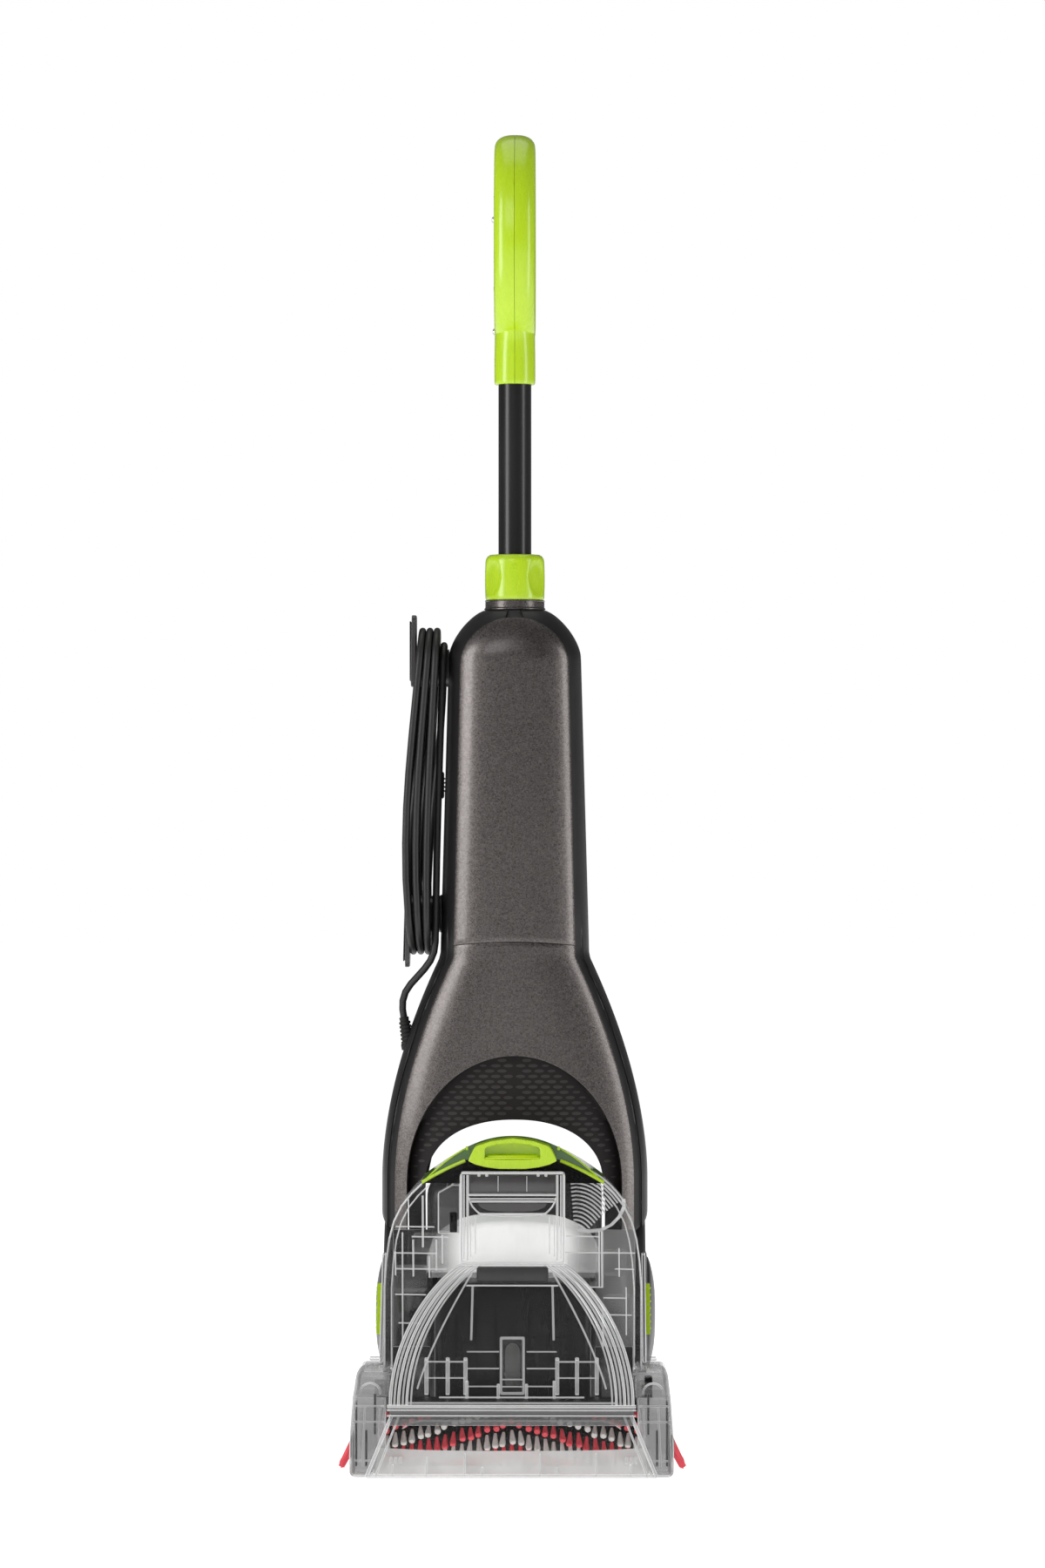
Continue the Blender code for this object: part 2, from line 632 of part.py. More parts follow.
def trigger():
    """The trigger on the loop's inner side, hung on a pin at its top."""
    y = TRIGGER_PIVOT.y
    z = TRIGGER_PIVOT.z
    outline = [(y + 0.004, z + 0.004), (y - 0.004, z + 0.004), (y - 0.014, z - 0.008), (y - 0.019, z - 0.022),
               (y - 0.019, z - 0.034), (y - 0.022, z - 0.046), (y - 0.016, z - 0.048), (y - 0.012, z - 0.030),
               (y - 0.003, z - 0.026)]
    plate("trigger", outline, "X", -TRIGGER_WIDTH / 2, TRIGGER_WIDTH / 2, BLACK)


# ---- foot ---------------------------------------------------------------------------------------------------
def open_tray(name, rows_outline, low, high, wall, look):
    """A shell of an outline in plan, closed on top and open below."""
    def build(bm):
        face = bm.faces.new([bm.verts.new((x, y, high)) for x, y in rows_outline])
        grown = bmesh.ops.extrude_face_region(bm, geom=[face])["geom"]
        moved = [item for item in grown if isinstance(item, bmesh.types.BMVert)]
        bmesh.ops.translate(bm, verts=moved, vec=(0, 0, low - high))
        floor = [item for item in grown if isinstance(item, bmesh.types.BMFace)]
        bmesh.ops.delete(bm, geom=floor, context="FACES_ONLY")
    piece = place(name, mesh_from(build, name), look)
    thick = piece.modifiers.new("wall", "SOLIDIFY")
    thick.thickness = wall
    thick.offset = -1.0
    thick.use_even_offset = True
    return piece


def chassis():
    """The black tray under the machine, wide in front of the wheels and narrow between them."""
    neck_y = AXLE.y - WHEEL_RADIUS - WHEEL_CLEARANCE
    half = [(CHASSIS_HALF_WIDTH, CHASSIS_FRONT_Y), (CHASSIS_HALF_WIDTH, neck_y),
            (HOUSING_HALF_WIDTH, neck_y), (HOUSING_HALF_WIDTH, HOUSING_BACK_Y)]
    outline = half + [(-x, y) for x, y in reversed(half)]
    open_tray("base_chassis", outline, CHASSIS_Z, CHASSIS_TOP_Z, CHASSIS_WALL, BLACK)
    box("front_glide", (-0.095, CHASSIS_FRONT_Y + 0.006, 0.0), (0.095, CHASSIS_FRONT_Y + 0.024,
        CHASSIS_TOP_Z - CHASSIS_WALL - GAP), GREY, 0.001)
    box("squeegee", (-BRUSH_LENGTH / 2, CHASSIS_FRONT_Y - 0.0034, 0.0015),
        (BRUSH_LENGTH / 2, CHASSIS_FRONT_Y - GAP, CHASSIS_TOP_Z - 0.002), RUBBER)


def foot_cover():
    """The black hump in front of the motor housing, over the brush motor, with its bores."""
    outline = rounded_box(-HUMP_HALF_WIDTH, CHASSIS_FRONT_Y + 0.001, HUMP_HALF_WIDTH,
                          HOUSING_FRONT_Y - GAP, 0.010, 3)
    hump = open_tray("foot_cover", outline, CHASSIS_TOP_Z + GAP, HUMP_TOP_Z, HOUSING_WALL, BLACK)
    shaft = rod("shaft_hole", 0.0045, 0.04, 0.09, BRUSH_MOTOR, "X", None, 16, cutters)
    hose = rod("hose_hole", HOSE_RADIUS + 0.001, -0.02, 0.02, (0, CHASSIS_FRONT_Y, SPRAY_Z), "Y", None, 16, cutters)
    cut(hump, shaft)
    cut(hump, hose)


def motor_housing():
    """The black housing between the wheels, open below, with bores for the axle."""
    front = HOUSING_FRONT_Y
    back = HOUSING_BACK_Y
    half = HOUSING_HALF_WIDTH
    side = arc((front + 0.020, HOUSING_TOP_Z - 0.020), 0.020, 180, 90, 4)
    side += arc((back - 0.082, HOUSING_TOP_Z - 0.080), 0.080, 90, 0, 7)
    rows = []
    for inset, x in ((0.018, -half), (0.0075, -half + 0.0045), (0.0, -half + 0.018)):
        rows.append(housing_row(side, x, inset, front, back))
    for inset, x in ((0.0, half - 0.018), (0.0075, half - 0.0045), (0.018, half)):
        rows.append(housing_row(side, x, inset, front, back))

    def build(bm):
        grid = [[bm.verts.new(point) for point in row] for row in rows]
        for left, right in zip(grid, grid[1:]):
            for i in range(len(left) - 1):
                bm.faces.new((left[i], left[i + 1], right[i + 1], right[i]))
        bm.faces.new(grid[0])
        bm.faces.new(list(reversed(grid[-1])))
    housing = place("motor_housing", mesh_from(build, "motor_housing"), BLACK)
    thick = housing.modifiers.new("wall", "SOLIDIFY")
    thick.thickness = HOUSING_WALL
    thick.offset = -1.0
    cut(housing, rod("axle_bore", AXLE_RADIUS + RUNNING_CLEARANCE, -0.2, 0.2, AXLE, "X", None, 24, cutters))


def housing_row(side, x, inset, front, back):
    """One section of the motor housing across X, drawn in at its ends."""
    bottom = CHASSIS_TOP_Z + GAP
    middle_y = (front + back) / 2
    row = [(x, front + (0.4 * inset), bottom)]
    for y, z in side:
        row.append((x, y + (0.4 * inset if y < middle_y else -0.4 * inset), z - inset))
    row.append((x, back - 0.4 * inset, bottom))
    return row


def motors():
    """The suction motor with its fan, the brush motor with its pulley, and the pump."""
    centre_y = AXLE.y - AXLE_RADIUS - SUCTION_MOTOR_RADIUS - 0.008
    low = CHASSIS_TOP_Z + 0.014
    top = low + SUCTION_MOTOR_HEIGHT
    turned("suction_motor", [(0.0, low), (SUCTION_MOTOR_RADIUS, low), (SUCTION_MOTOR_RADIUS, top - 0.02),
                             (0.02, top), (0.0, top)], (0, centre_y, 0), "Z", STEEL, 24)
    washer("suction_fan", 0.006, SUCTION_MOTOR_RADIUS - 0.002, top + 0.004, top + 0.014, (0, centre_y, 0), "Z",
           GREY, 24)
    rod("brush_motor", BRUSH_MOTOR_RADIUS, -BRUSH_MOTOR_LENGTH / 2, BRUSH_MOTOR_LENGTH / 2, BRUSH_MOTOR, "X",
        STEEL, 24)
    inner_end = BRUSH_MOTOR_LENGTH / 2 + GAP
    profile = [(0.0, inner_end), (0.003, inner_end), (0.003, PULLEY_X), (MOTOR_PULLEY_RADIUS, PULLEY_X),
               (MOTOR_PULLEY_RADIUS, PULLEY_X + PULLEY_WIDTH), (0.0, PULLEY_X + PULLEY_WIDTH)]
    turned("motor_pulley", profile, BRUSH_MOTOR, "X", GREY, 24)
    box("water_pump", (-0.022, PUMP_FRONT_Y, CHASSIS_TOP_Z + 0.002), (0.022, PUMP_FRONT_Y + 0.034,
        SPRAY_Z + 0.014), GREY, 0.002)


def belt():
    """The belt round both pulleys."""
    start = Vector((BRUSH.y, BRUSH.z))
    end = Vector((BRUSH_MOTOR.y, BRUSH_MOTOR.z))
    slope = math.degrees(math.atan2(end.y - start.y, end.x - start.x))
    lean = math.degrees(math.asin((BRUSH_PULLEY_RADIUS - MOTOR_PULLEY_RADIUS) / (end - start).length))

    def loop(grow):
        big = arc(start, BRUSH_PULLEY_RADIUS + grow, slope + 90 - lean, slope + 270 + lean, 12)
        small = arc(end, MOTOR_PULLEY_RADIUS + grow, slope - 90 + lean, slope + 90 - lean, 10)
        return big + small
    band = plate("drive_belt", loop(GAP + BELT_THICKNESS), "X", PULLEY_X + 0.0005, PULLEY_X + PULLEY_WIDTH - 0.0005,
                 RUBBER)
    cut(band, plate("belt_inside", loop(GAP), "X", 0.05, 0.2, None, collection=cutters))


def brush():
    """The brush roll: its core and shaft, the sleeve that its bristles fill, and its pulley."""
    half = BRUSH_LENGTH / 2
    profile = [(0.0, -half - 0.004), (0.004, -half - 0.004), (0.004, -half), (BRUSH_CORE_RADIUS, -half),
               (BRUSH_CORE_RADIUS, half), (0.004, half), (0.004, PULLEY_X - GAP), (0.0, PULLEY_X - GAP)]
    turned("brush_core", profile, BRUSH, "X", BLACK, 24)
    washer("brush_bristles", BRUSH_CORE_RADIUS + GAP, BRISTLE_RADIUS, -half + 0.004, half - 0.004, BRUSH, "X",
           RED, 24)
    rod("brush_pulley", BRUSH_PULLEY_RADIUS, PULLEY_X, PULLEY_X + PULLEY_WIDTH, BRUSH, "X", GREY, 24)


def brush_bearings():
    """The blocks that hold the brush's ends."""
    half = BRUSH_LENGTH / 2
    for side, label in ((-1, "left"), (1, "right")):
        low = half + 0.001 if side > 0 else -half - 0.005
        block = box("brush_bearing_" + label, (low, BRUSH.y - 0.008, BRUSH.z - 0.008),
                    (low + 0.004, BRUSH.y + 0.008, HOOD_HEIGHT * 0.62), GREY)
        cut(block, rod("bearing_hole_" + label, 0.0045, -0.2, 0.2, BRUSH, "X", None, 24, cutters))


def hood_side():
    """The hood's outline seen from the side, as (y, z), from its front foot over the top to its back foot."""
    front = FRONT_Y
    return ([(front, HOOD_LIFT), (front + WINDOW_LEAN, WINDOW_HEIGHT)]
            + arc((front + 0.058, HOOD_HEIGHT - 0.020), 0.020, 120, 90, 2)
            + [(HOOD_BACK_Y, HOOD_HEIGHT - 0.004), (HOOD_BACK_Y, HOOD_LIFT + 0.03)])


def nozzle_hood():
    """The clear hood over the brush: a front window between two side housings, open below and behind."""
    side = hood_side()
    half = HOOD_HALF_WIDTH
    corner = 0.012
    levels = ((0.010, -half), (0.003, -half + 0.004), (0.0, -half + corner), (0.0, half - corner),
              (0.003, half - 0.004), (0.010, half))

    def build(bm):
        grid = []
        for inset, x in levels:
            row = []
            for y, z in side:
                high = z > WINDOW_HEIGHT
                row.append(bm.verts.new((x, y, z - inset if high else z)))
            grid.append(row)
        for left, right in zip(grid, grid[1:]):
            for i in range(len(left) - 2):
                bm.faces.new((left[i], left[i + 1], right[i + 1], right[i]))
        bm.faces.new(grid[0])
        bm.faces.new(list(reversed(grid[-1])))
    hood = place("nozzle_hood", mesh_from(build, "nozzle_hood"), CLEAR)
    thick = hood.modifiers.new("wall", "SOLIDIFY")
    thick.thickness = HOOD_WALL
    thick.offset = -1.0
    duct_room = DUCT_FOOT_HALF_WIDTH + 0.0015
    tank_room = TANK_HALF_WIDTH + 0.001
    step = TANK_FRONT_Y - 0.001
    right = [(duct_room, FRONT_Y - 0.02), (duct_room, step), (tank_room, step), (tank_room, 0.0)]
    cut(hood, plate("hood_room", right + [(-x, y) for x, y in reversed(right)], "Z", WINDOW_HEIGHT, 0.15, None,
                    collection=cutters))
    box("nozzle_bar", (-DUCT_FOOT_HALF_WIDTH, FRONT_Y + WINDOW_LEAN, WINDOW_HEIGHT + GAP),
        (DUCT_FOOT_HALF_WIDTH, FRONT_Y + 0.0125, WINDOW_HEIGHT + GAP + BAR_HEIGHT), GREY, 0.001)


def duct_half_width(share):
    """Half the duct's width, from its foot at 0 to its head at 1: it draws in like the sides of an arch."""
    return DUCT_HEAD_HALF_WIDTH + (DUCT_FOOT_HALF_WIDTH - DUCT_HEAD_HALF_WIDTH) * (1 - share ** 2) ** 0.8


def duct_levels(low_share, high_share):
    """Shares of the duct's height, close together near its head, where it draws in fast."""
    return [low_share] + [1 - (1 - i / 9) ** 1.6 for i in range(1, 9)] + [high_share]


def duct_form(name, inset, low_share, high_share, look, collection=None):
    """The duct's solid form between two shares of its height, with its walls drawn in by inset."""
    rows = []
    for share in duct_levels(low_share, high_share):
        z = DUCT_BOTTOM_Z + (DUCT_TOP_Z - DUCT_BOTTOM_Z) * share
        held = min(max(share, 0.0), 1.0)
        y = FRONT_Y + WINDOW_LEAN + DUCT_SETBACK * share
        half = duct_half_width(held) - inset
        deep = 0.014 + (DUCT_DEPTH - 0.014) * held
        slant = inset * 1.17
        rows.append([(-half, y + 0.003 + slant, z), (-half + 0.004, y + slant, z), (half - 0.004, y + slant, z),
                     (half, y + 0.003 + slant, z), (half, y + deep - slant, z), (-half, y + deep - slant, z)])

    def build(bm):
        grid = [[bm.verts.new(point) for point in row] for row in rows]
        for upper, lower in zip(grid, grid[1:]):
            for i in range(len(upper)):
                j = (i + 1) % len(upper)
                bm.faces.new((upper[i], upper[j], lower[j], lower[i]))
        bm.faces.new(grid[0])
        bm.faces.new(list(reversed(grid[-1])))
    return place(name, mesh_from(build, name), look, collection)


def suction_duct():
    """The clear flat duct from the nozzle up to the tank's chimney, open at both ends."""
    duct = duct_form("suction_duct", 0.0, 0.0, 1.0, CLEAR)
    cut(duct, duct_form("duct_inside", DUCT_WALL, -0.02, 1.02, None, cutters))


def spray():
    """The spray tip on the foot cover's front, and the hose that feeds it."""
    back = CHASSIS_FRONT_Y + 0.001 - GAP
    rod("spray_tip", 0.006, SPRAY_Z - 0.019, SPRAY_Z + 0.017, (0, back - 0.006, 0), "Z", GREY, 16)
    start = PUMP_FRONT_Y - GAP
    end = back + GAP
    points = [(0, start, SPRAY_Z), (0, start - 0.012, SPRAY_Z), (0, (start + end) / 2, SPRAY_Z + 0.0015),
              (0, end + 0.012, SPRAY_Z), (0, end, SPRAY_Z)]
    pipe("spray_hose", smooth_route(points, 0.006), HOSE_RADIUS, RUBBER, 2)


def edge_bristles():
    """The short bristle combs at both ends of the hood."""
    for side, label in ((-1, "left"), (1, "right")):
        near = HOOD_HALF_WIDTH + GAP
        far = HOOD_HALF_WIDTH + EDGE_BRISTLE_REACH
        outline = [(near, 0.010), (near, 0.030), (far - 0.002, 0.014), (far, 0.006), (far - 0.003, 0.003)]
        outline = outline if side > 0 else [(-x, z) for x, z in reversed(outline)]
        plate("edge_bristles_" + label, outline, "Y", BRUSH.y - 0.020, BRUSH.y + 0.020, RED)


def nozzle_latches():
    """The clear arms at the foot's sides, each with a green sliding latch."""
    inner = TANK_HALF_WIDTH + 0.0012
    arm = 0.0030
    for side, label in ((-1, "left"), (1, "right")):
        outline = [(HOOD_BACK_Y - 0.034, HOOD_HEIGHT + GAP), (HOOD_BACK_Y + 0.004, HOOD_HEIGHT + GAP),
                   (HOOD_BACK_Y + 0.052, DUCT_TOP_Z + 0.002), (HOOD_BACK_Y + 0.036, DUCT_TOP_Z + 0.002)]
        low = inner if side > 0 else -inner - arm
        plate("nozzle_arm_" + label, outline, "X", low, low + arm, CLEAR)
        low = inner + arm + GAP if side > 0 else -inner - arm - GAP - 0.0035
        outline = [(HOOD_BACK_Y + 0.006, 0.1068), (HOOD_BACK_Y + 0.014, 0.1068), (HOOD_BACK_Y + 0.038, 0.1474),
                   (HOOD_BACK_Y + 0.030, 0.1474)]
        plate("nozzle_latch_" + label, outline, "X", low, low + 0.0035, GREEN)


def axle_and_wheels():
    """The steel axle and the two domed wheels with their hub caps."""
    outer = WHEEL_INNER_X + WHEEL_WIDTH
    tip = outer - 0.009
    rod("axle", AXLE_RADIUS, -tip, tip, AXLE, "X", STEEL, 24)
    bore = AXLE_RADIUS + RUNNING_CLEARANCE
    tread = 0.0150
    for side, label in ((-1, "left"), (1, "right")):
        def along(distance):
            return side * (WHEEL_INNER_X + distance)
        profile = [(bore, along(0)), (0.022, along(0)), (0.026, along(0.006)), (WHEEL_RADIUS - 0.012, along(0.006)),
                   (WHEEL_RADIUS - 0.009, along(0.0)), (WHEEL_RADIUS - 0.003, along(0.0)),
                   (WHEEL_RADIUS, along(0.004)), (WHEEL_RADIUS, along(tread - 0.004)),
                   (WHEEL_RADIUS - 0.005, along(tread)), (0.060, along(tread - 0.0005)),
                   (0.056, along(0.0100)), (bore, along(0.0100))]
        turned("wheel_" + label, profile, AXLE, "X", RUBBER, 40)
        seat = tip - WHEEL_INNER_X + 0.001
        cap = [(0.0, along(seat)), (0.008, along(seat)), (0.012, along(0.0100 + GAP)), (0.054, along(0.0100 + GAP)),
               (0.0555, along(0.0150)), (0.044, along(0.0195)), (0.024, along(0.0235)),
               (0.0, along(WHEEL_WIDTH))]
        turned("hub_cap_" + label, cap, AXLE, "X", BLACK, 24)


def recline_pedal():
    """The pedal behind the housing that frees the column."""
    y = HOUSING_BACK_Y + 0.0015
    outline = [(y, 0.034), (y, 0.046), (y + 0.010, 0.049), (y + 0.029, 0.044), (y + 0.030, 0.039), (y + 0.010, 0.038)]
    plate("recline_pedal", outline, "X", -0.024, 0.024, BLACK)


def foot():
    chassis()
    foot_cover()
    motor_housing()
    motors()
    belt()
    brush()
    brush_bearings()
    nozzle_hood()
    suction_duct()
    spray()
    edge_bristles()
    nozzle_latches()
    axle_and_wheels()
    recline_pedal()


# ---- tank ---------------------------------------------------------------------------------------------------
def lid_top(x):
    """The height of the lid's top at a distance from the middle."""
    return LID_END_Z + (LID_TOP_Z - LID_END_Z) * (1 - (abs(x) / LID_HALF_WIDTH) ** 2.1)


def tank_outline(inset, top_open):
    """The tank's outline seen from the front: it straddles the foot cover. inset draws its walls in."""
    half = TANK_HALF_WIDTH - inset
    hump = HUMP_HALF_WIDTH + 0.003 + inset
    hump_top = HUMP_TOP_Z + 0.003 + inset
    right = [(hump - 0.002, hump_top), (hump, hump_top - 0.002), (hump, TANK_BOTTOM_Z + inset),
             (half - 0.006, TANK_BOTTOM_Z + inset), (half, TANK_BOTTOM_Z + 0.006 + inset), (half, 0.150),
             (half - 0.003, 0.185), (half - 0.0055, 0.200), (half - 0.012, 0.2140)]
    if top_open:
        right += [(0.074, 0.2365), (0.074, LID_TOP_Z)]
    else:
        right += [(LID_HALF_WIDTH, LID_END_Z - GAP)]
        for i in range(7, 0, -1):
            x = LID_HALF_WIDTH * i / 8
            right.append((x, lid_top(x) - LID_THICKNESS - GAP))
    left = [(-x, z) for x, z in reversed(right)]
    middle = [] if top_open else [(0.0, lid_top(0.0) - LID_THICKNESS - GAP)]
    return right + middle + left


def tank():
    """The lift-off tank: clear shell, frosted inner chamber, chimney, air separator and green lid."""
    shell = plate("tank_shell", tank_outline(0.0, False), "Y", TANK_FRONT_Y, TANK_BACK_Y, CLEAR)
    inside = plate("tank_inside", tank_outline(TANK_WALL, True), "Y", TANK_FRONT_Y + TANK_WALL,
                   TANK_BACK_Y - TANK_WALL, None, collection=cutters)
    cut(shell, inside)

    chamber_bottom = HUMP_TOP_Z + 0.003 + TANK_WALL + 2 * GAP
    chamber = [(0.0726, chamber_bottom), (0.0726, 0.177), (0.066, 0.187), (0.053, 0.1955), (0.034, 0.202),
               (0.0, 0.2046)]
    outline = chamber + [(-x, z) for x, z in reversed(chamber[:-1])]
    inner = plate("inner_chamber", outline, "Y", TANK_FRONT_Y + CHAMBER_INSET, TANK_BACK_Y - CHAMBER_INSET, FROSTED)
    outline = [(x * 0.95, z - 0.003) for x, z in outline]
    outline[0] = (outline[0][0], chamber_bottom - 0.01)
    outline[-1] = (outline[-1][0], chamber_bottom - 0.01)
    cut(inner, plate("chamber_inside", outline, "Y", TANK_FRONT_Y + CHAMBER_INSET + TANK_WALL,
                     TANK_BACK_Y - CHAMBER_INSET - TANK_WALL, None, collection=cutters))

    chimney = box("chimney", (-CHIMNEY_HALF_WIDTH, TANK_FRONT_Y - GAP - CHIMNEY_DEPTH, DUCT_TOP_Z + GAP),
                  (CHIMNEY_HALF_WIDTH, TANK_FRONT_Y - GAP, CHIMNEY_TOP_Z), CLEAR)
    cut(chimney, box("chimney_inside",
                     (-CHIMNEY_HALF_WIDTH + TANK_WALL, TANK_FRONT_Y - GAP - CHIMNEY_DEPTH + TANK_WALL, 0.1),
                     (CHIMNEY_HALF_WIDTH - TANK_WALL, TANK_FRONT_Y - GAP - TANK_WALL, CHIMNEY_TOP_Z - TANK_WALL),
                     None, collection=cutters))

    top = [(LID_HALF_WIDTH * i / 8, lid_top(LID_HALF_WIDTH * i / 8)) for i in range(-8, 9)]
    under = [(x, z - LID_THICKNESS) for x, z in reversed(top[1:-1])]
    lid = plate("tank_lid", top + under, "Y", TANK_FRONT_Y + 0.002, TANK_BACK_Y - 0.001, DARK_GREEN)
    cup_bottom = CHIMNEY_TOP_Z + GAP
    room = box("cup_room", (-CUP_HALF_WIDTH - GAP, CUP_FRONT_Y - 0.02, CHIMNEY_TOP_Z),
               (CUP_HALF_WIDTH + GAP, CUP_BACK_Y + GAP, 0.3), None, collection=cutters)
    cut(lid, room)
    cut(shell, room)

    outline = [(CUP_HALF_WIDTH, cup_bottom), (0.031, 0.2690), (0.016, 0.2745), (0.0, LID_TOP_Z - 0.0005)]
    outline += [(-x, z) for x, z in reversed(outline[:-1])]
    cup = plate("finger_cup", outline, "Y", CUP_FRONT_Y, CUP_BACK_Y, GREEN)
    cut(cup, box("cup_hollow", (-0.026, CUP_FRONT_Y - 0.01, cup_bottom + 0.0045), (0.026, CUP_BACK_Y - 0.008, 0.2665),
                 None, collection=cutters))
    box("tank_latch", (-0.021, CUP_FRONT_Y + 0.004, cup_bottom + 0.0052), (0.021, CUP_FRONT_Y + 0.008, 0.2620), GREEN)

    fan = [(0.050, 0.2280)] + arc((0.046, 0.192), 0.046, 62, 8, 6) + [(0.086, 0.190), (0.050, 0.190)]
    plate("air_separator", fan, "Y", TANK_FRONT_Y + TANK_WALL + GAP, TANK_FRONT_Y + CHAMBER_INSET - GAP, CLEAR)


# ---- hooks and cord -----------------------------------------------------------------------------------------
def side_x(z):
    """The X of the column's left side at a height, with room for the cord beside it."""
    return -(COLUMN_TOP_HALF_WIDTH + COLUMN_TAPER * (SHOULDER_Z - z)) - 0.0008


def racetrack(radius, low, high, steps=10):
    """A loop with round ends about the two hook posts, as (y, z)."""
    return arc((COLUMN_Y, high), radius, 0, 180, steps) + arc((COLUMN_Y, low), radius, 180, 360, steps)


def lean_to_column(piece):
    """Shears a piece modelled beside X = 0 so that it follows the column's tapered side."""
    for vertex in piece.data.vertices:
        vertex.co.x += side_x(vertex.co.z)


def hook(name, post_z, up, root_x, plate_x, leans):
    """One cord hook: a round post out of the column's side, with a plate at its end that points up or down."""
    post = arc((COLUMN_Y, post_z), POST_RADIUS, 0, 360, 20)[:-1]
    piece = plate(name, post, "X", plate_x + 0.001, root_x, BLACK)
    half = POST_RADIUS + 0.001
    ends = sorted((post_z + up * HOOK_REACH, post_z - up * POST_RADIUS))
    flange = plate(name + "_plate", rounded_box(COLUMN_Y - half, ends[0], COLUMN_Y + half, ends[1], 0.005, 2), "X",
                   plate_x, plate_x + HOOK_PLATE, None, collection=cutters)
    if leans:
        lean_to_column(piece)
        lean_to_column(flange)
    cut(piece, flange, "UNION")


def hooks():
    """The fixed lower hook, and the upper one, which turns about its post to let the cord off."""
    hook("lower_cord_hook", LOWER_HOOK_Z, -1, 0.0004, -HANK_WIDTH - 2 * GAP - HOOK_PLATE, True)
    root_x = side_x(UPPER_HOOK_Z - POST_RADIUS) + 0.0005
    plate_x = side_x(UPPER_HOOK_Z - HOOK_REACH) - HANK_WIDTH - 2 * GAP - HOOK_PLATE
    hook("upper_cord_hook", UPPER_HOOK_Z, 1, root_x, plate_x, False)


def hank():
    """The wound cord between the hooks, as the ring that its turns fill."""
    clear = GAP
    ring = plate("cord_hank", racetrack(HANK_OUTER_RADIUS, LOWER_HOOK_Z, UPPER_HOOK_Z), "X", -HANK_WIDTH, -clear,
                 RUBBER)
    hole = plate("hank_hole", racetrack(POST_RADIUS + GAP, LOWER_HOOK_Z, UPPER_HOOK_Z), "X", -0.2, 0.0, None,
                 collection=cutters)
    lean_to_column(ring)
    cut(ring, hole)


def cord():
    """The strain relief, the cord's visible lead up to the hank, the hank and the plug."""
    base = Vector((-0.0925, COLUMN_Y - 0.0030, GLAND_Z))
    tip = LEAD_POINTS[0]
    along = (tip - base).normalized()
    length = (tip - base).length - 2 * GAP

    def build(bm):
        bmesh.ops.create_cone(bm, cap_ends=True, segments=20, radius1=0.0062, radius2=0.0042, depth=length)
        bmesh.ops.translate(bm, verts=bm.verts, vec=(0, 0, length / 2))
        bmesh.ops.rotate(bm, verts=bm.verts, cent=(0, 0, 0), matrix=along.to_track_quat("Z", "Y").to_matrix())
        bmesh.ops.translate(bm, verts=bm.verts, vec=base)
    place("cord_gland", mesh_from(build, "cord_gland"), RUBBER)

    def hole(bm):
        bmesh.ops.create_cone(bm, cap_ends=True, segments=20, radius1=0.0068, radius2=0.0068, depth=0.04)
        bmesh.ops.rotate(bm, verts=bm.verts, cent=(0, 0, 0), matrix=along.to_track_quat("Z", "Y").to_matrix())
        bmesh.ops.translate(bm, verts=bm.verts, vec=base)
    cut(bpy.data.objects["rear_shell"], place("gland_hole", mesh_from(hole, "gland_hole"), None, cutters))
    pipe("cord_lead", smooth_route(LEAD_POINTS, 0.013), CORD_DIAMETER / 2, RUBBER, 2)
    hank()
    plug_x = side_x(0.58) - 0.0130
    plug_y = COLUMN_Y + HANK_OUTER_RADIUS + GAP + 0.0115
    box("cord_plug", (plug_x - 0.0115, plug_y - 0.0110, 0.5600), (plug_x + 0.0115, plug_y + 0.0110, 0.5960), RUBBER,
        0.003)


def power_switch():
    """The rocker switch in its opening in the column's back."""
    back = COLUMN_Y + COLUMN_HALF_DEPTH
    half = SWITCH_HEIGHT / 2
    low = SWITCH_Z - half
    high = SWITCH_Z + half
    outline = [(back - 0.004, low), (back - 0.004, high), (back + 0.004, high), (back + 0.0025, SWITCH_Z),
               (back + 0.0045, low)]
    plate("power_switch", outline, "X", -SWITCH_WIDTH / 2, SWITCH_WIDTH / 2, RED)
    room = SWITCH_WIDTH / 2 + 2 * GAP
    cut(bpy.data.objects["rear_shell"], box("switch_opening", (-room, back - 0.010, low - 0.0025),
                                            (room, back + 0.010, high + 0.0025), None, collection=cutters))


def main():
    start_scene()
    column()
    twist_collar()
    handle()
    trigger()
    foot()
    tank()
    hooks()
    cord()
    power_switch()


main()
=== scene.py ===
import math
from random import Random

import bmesh
import bpy
from mathutils import Matrix, Vector


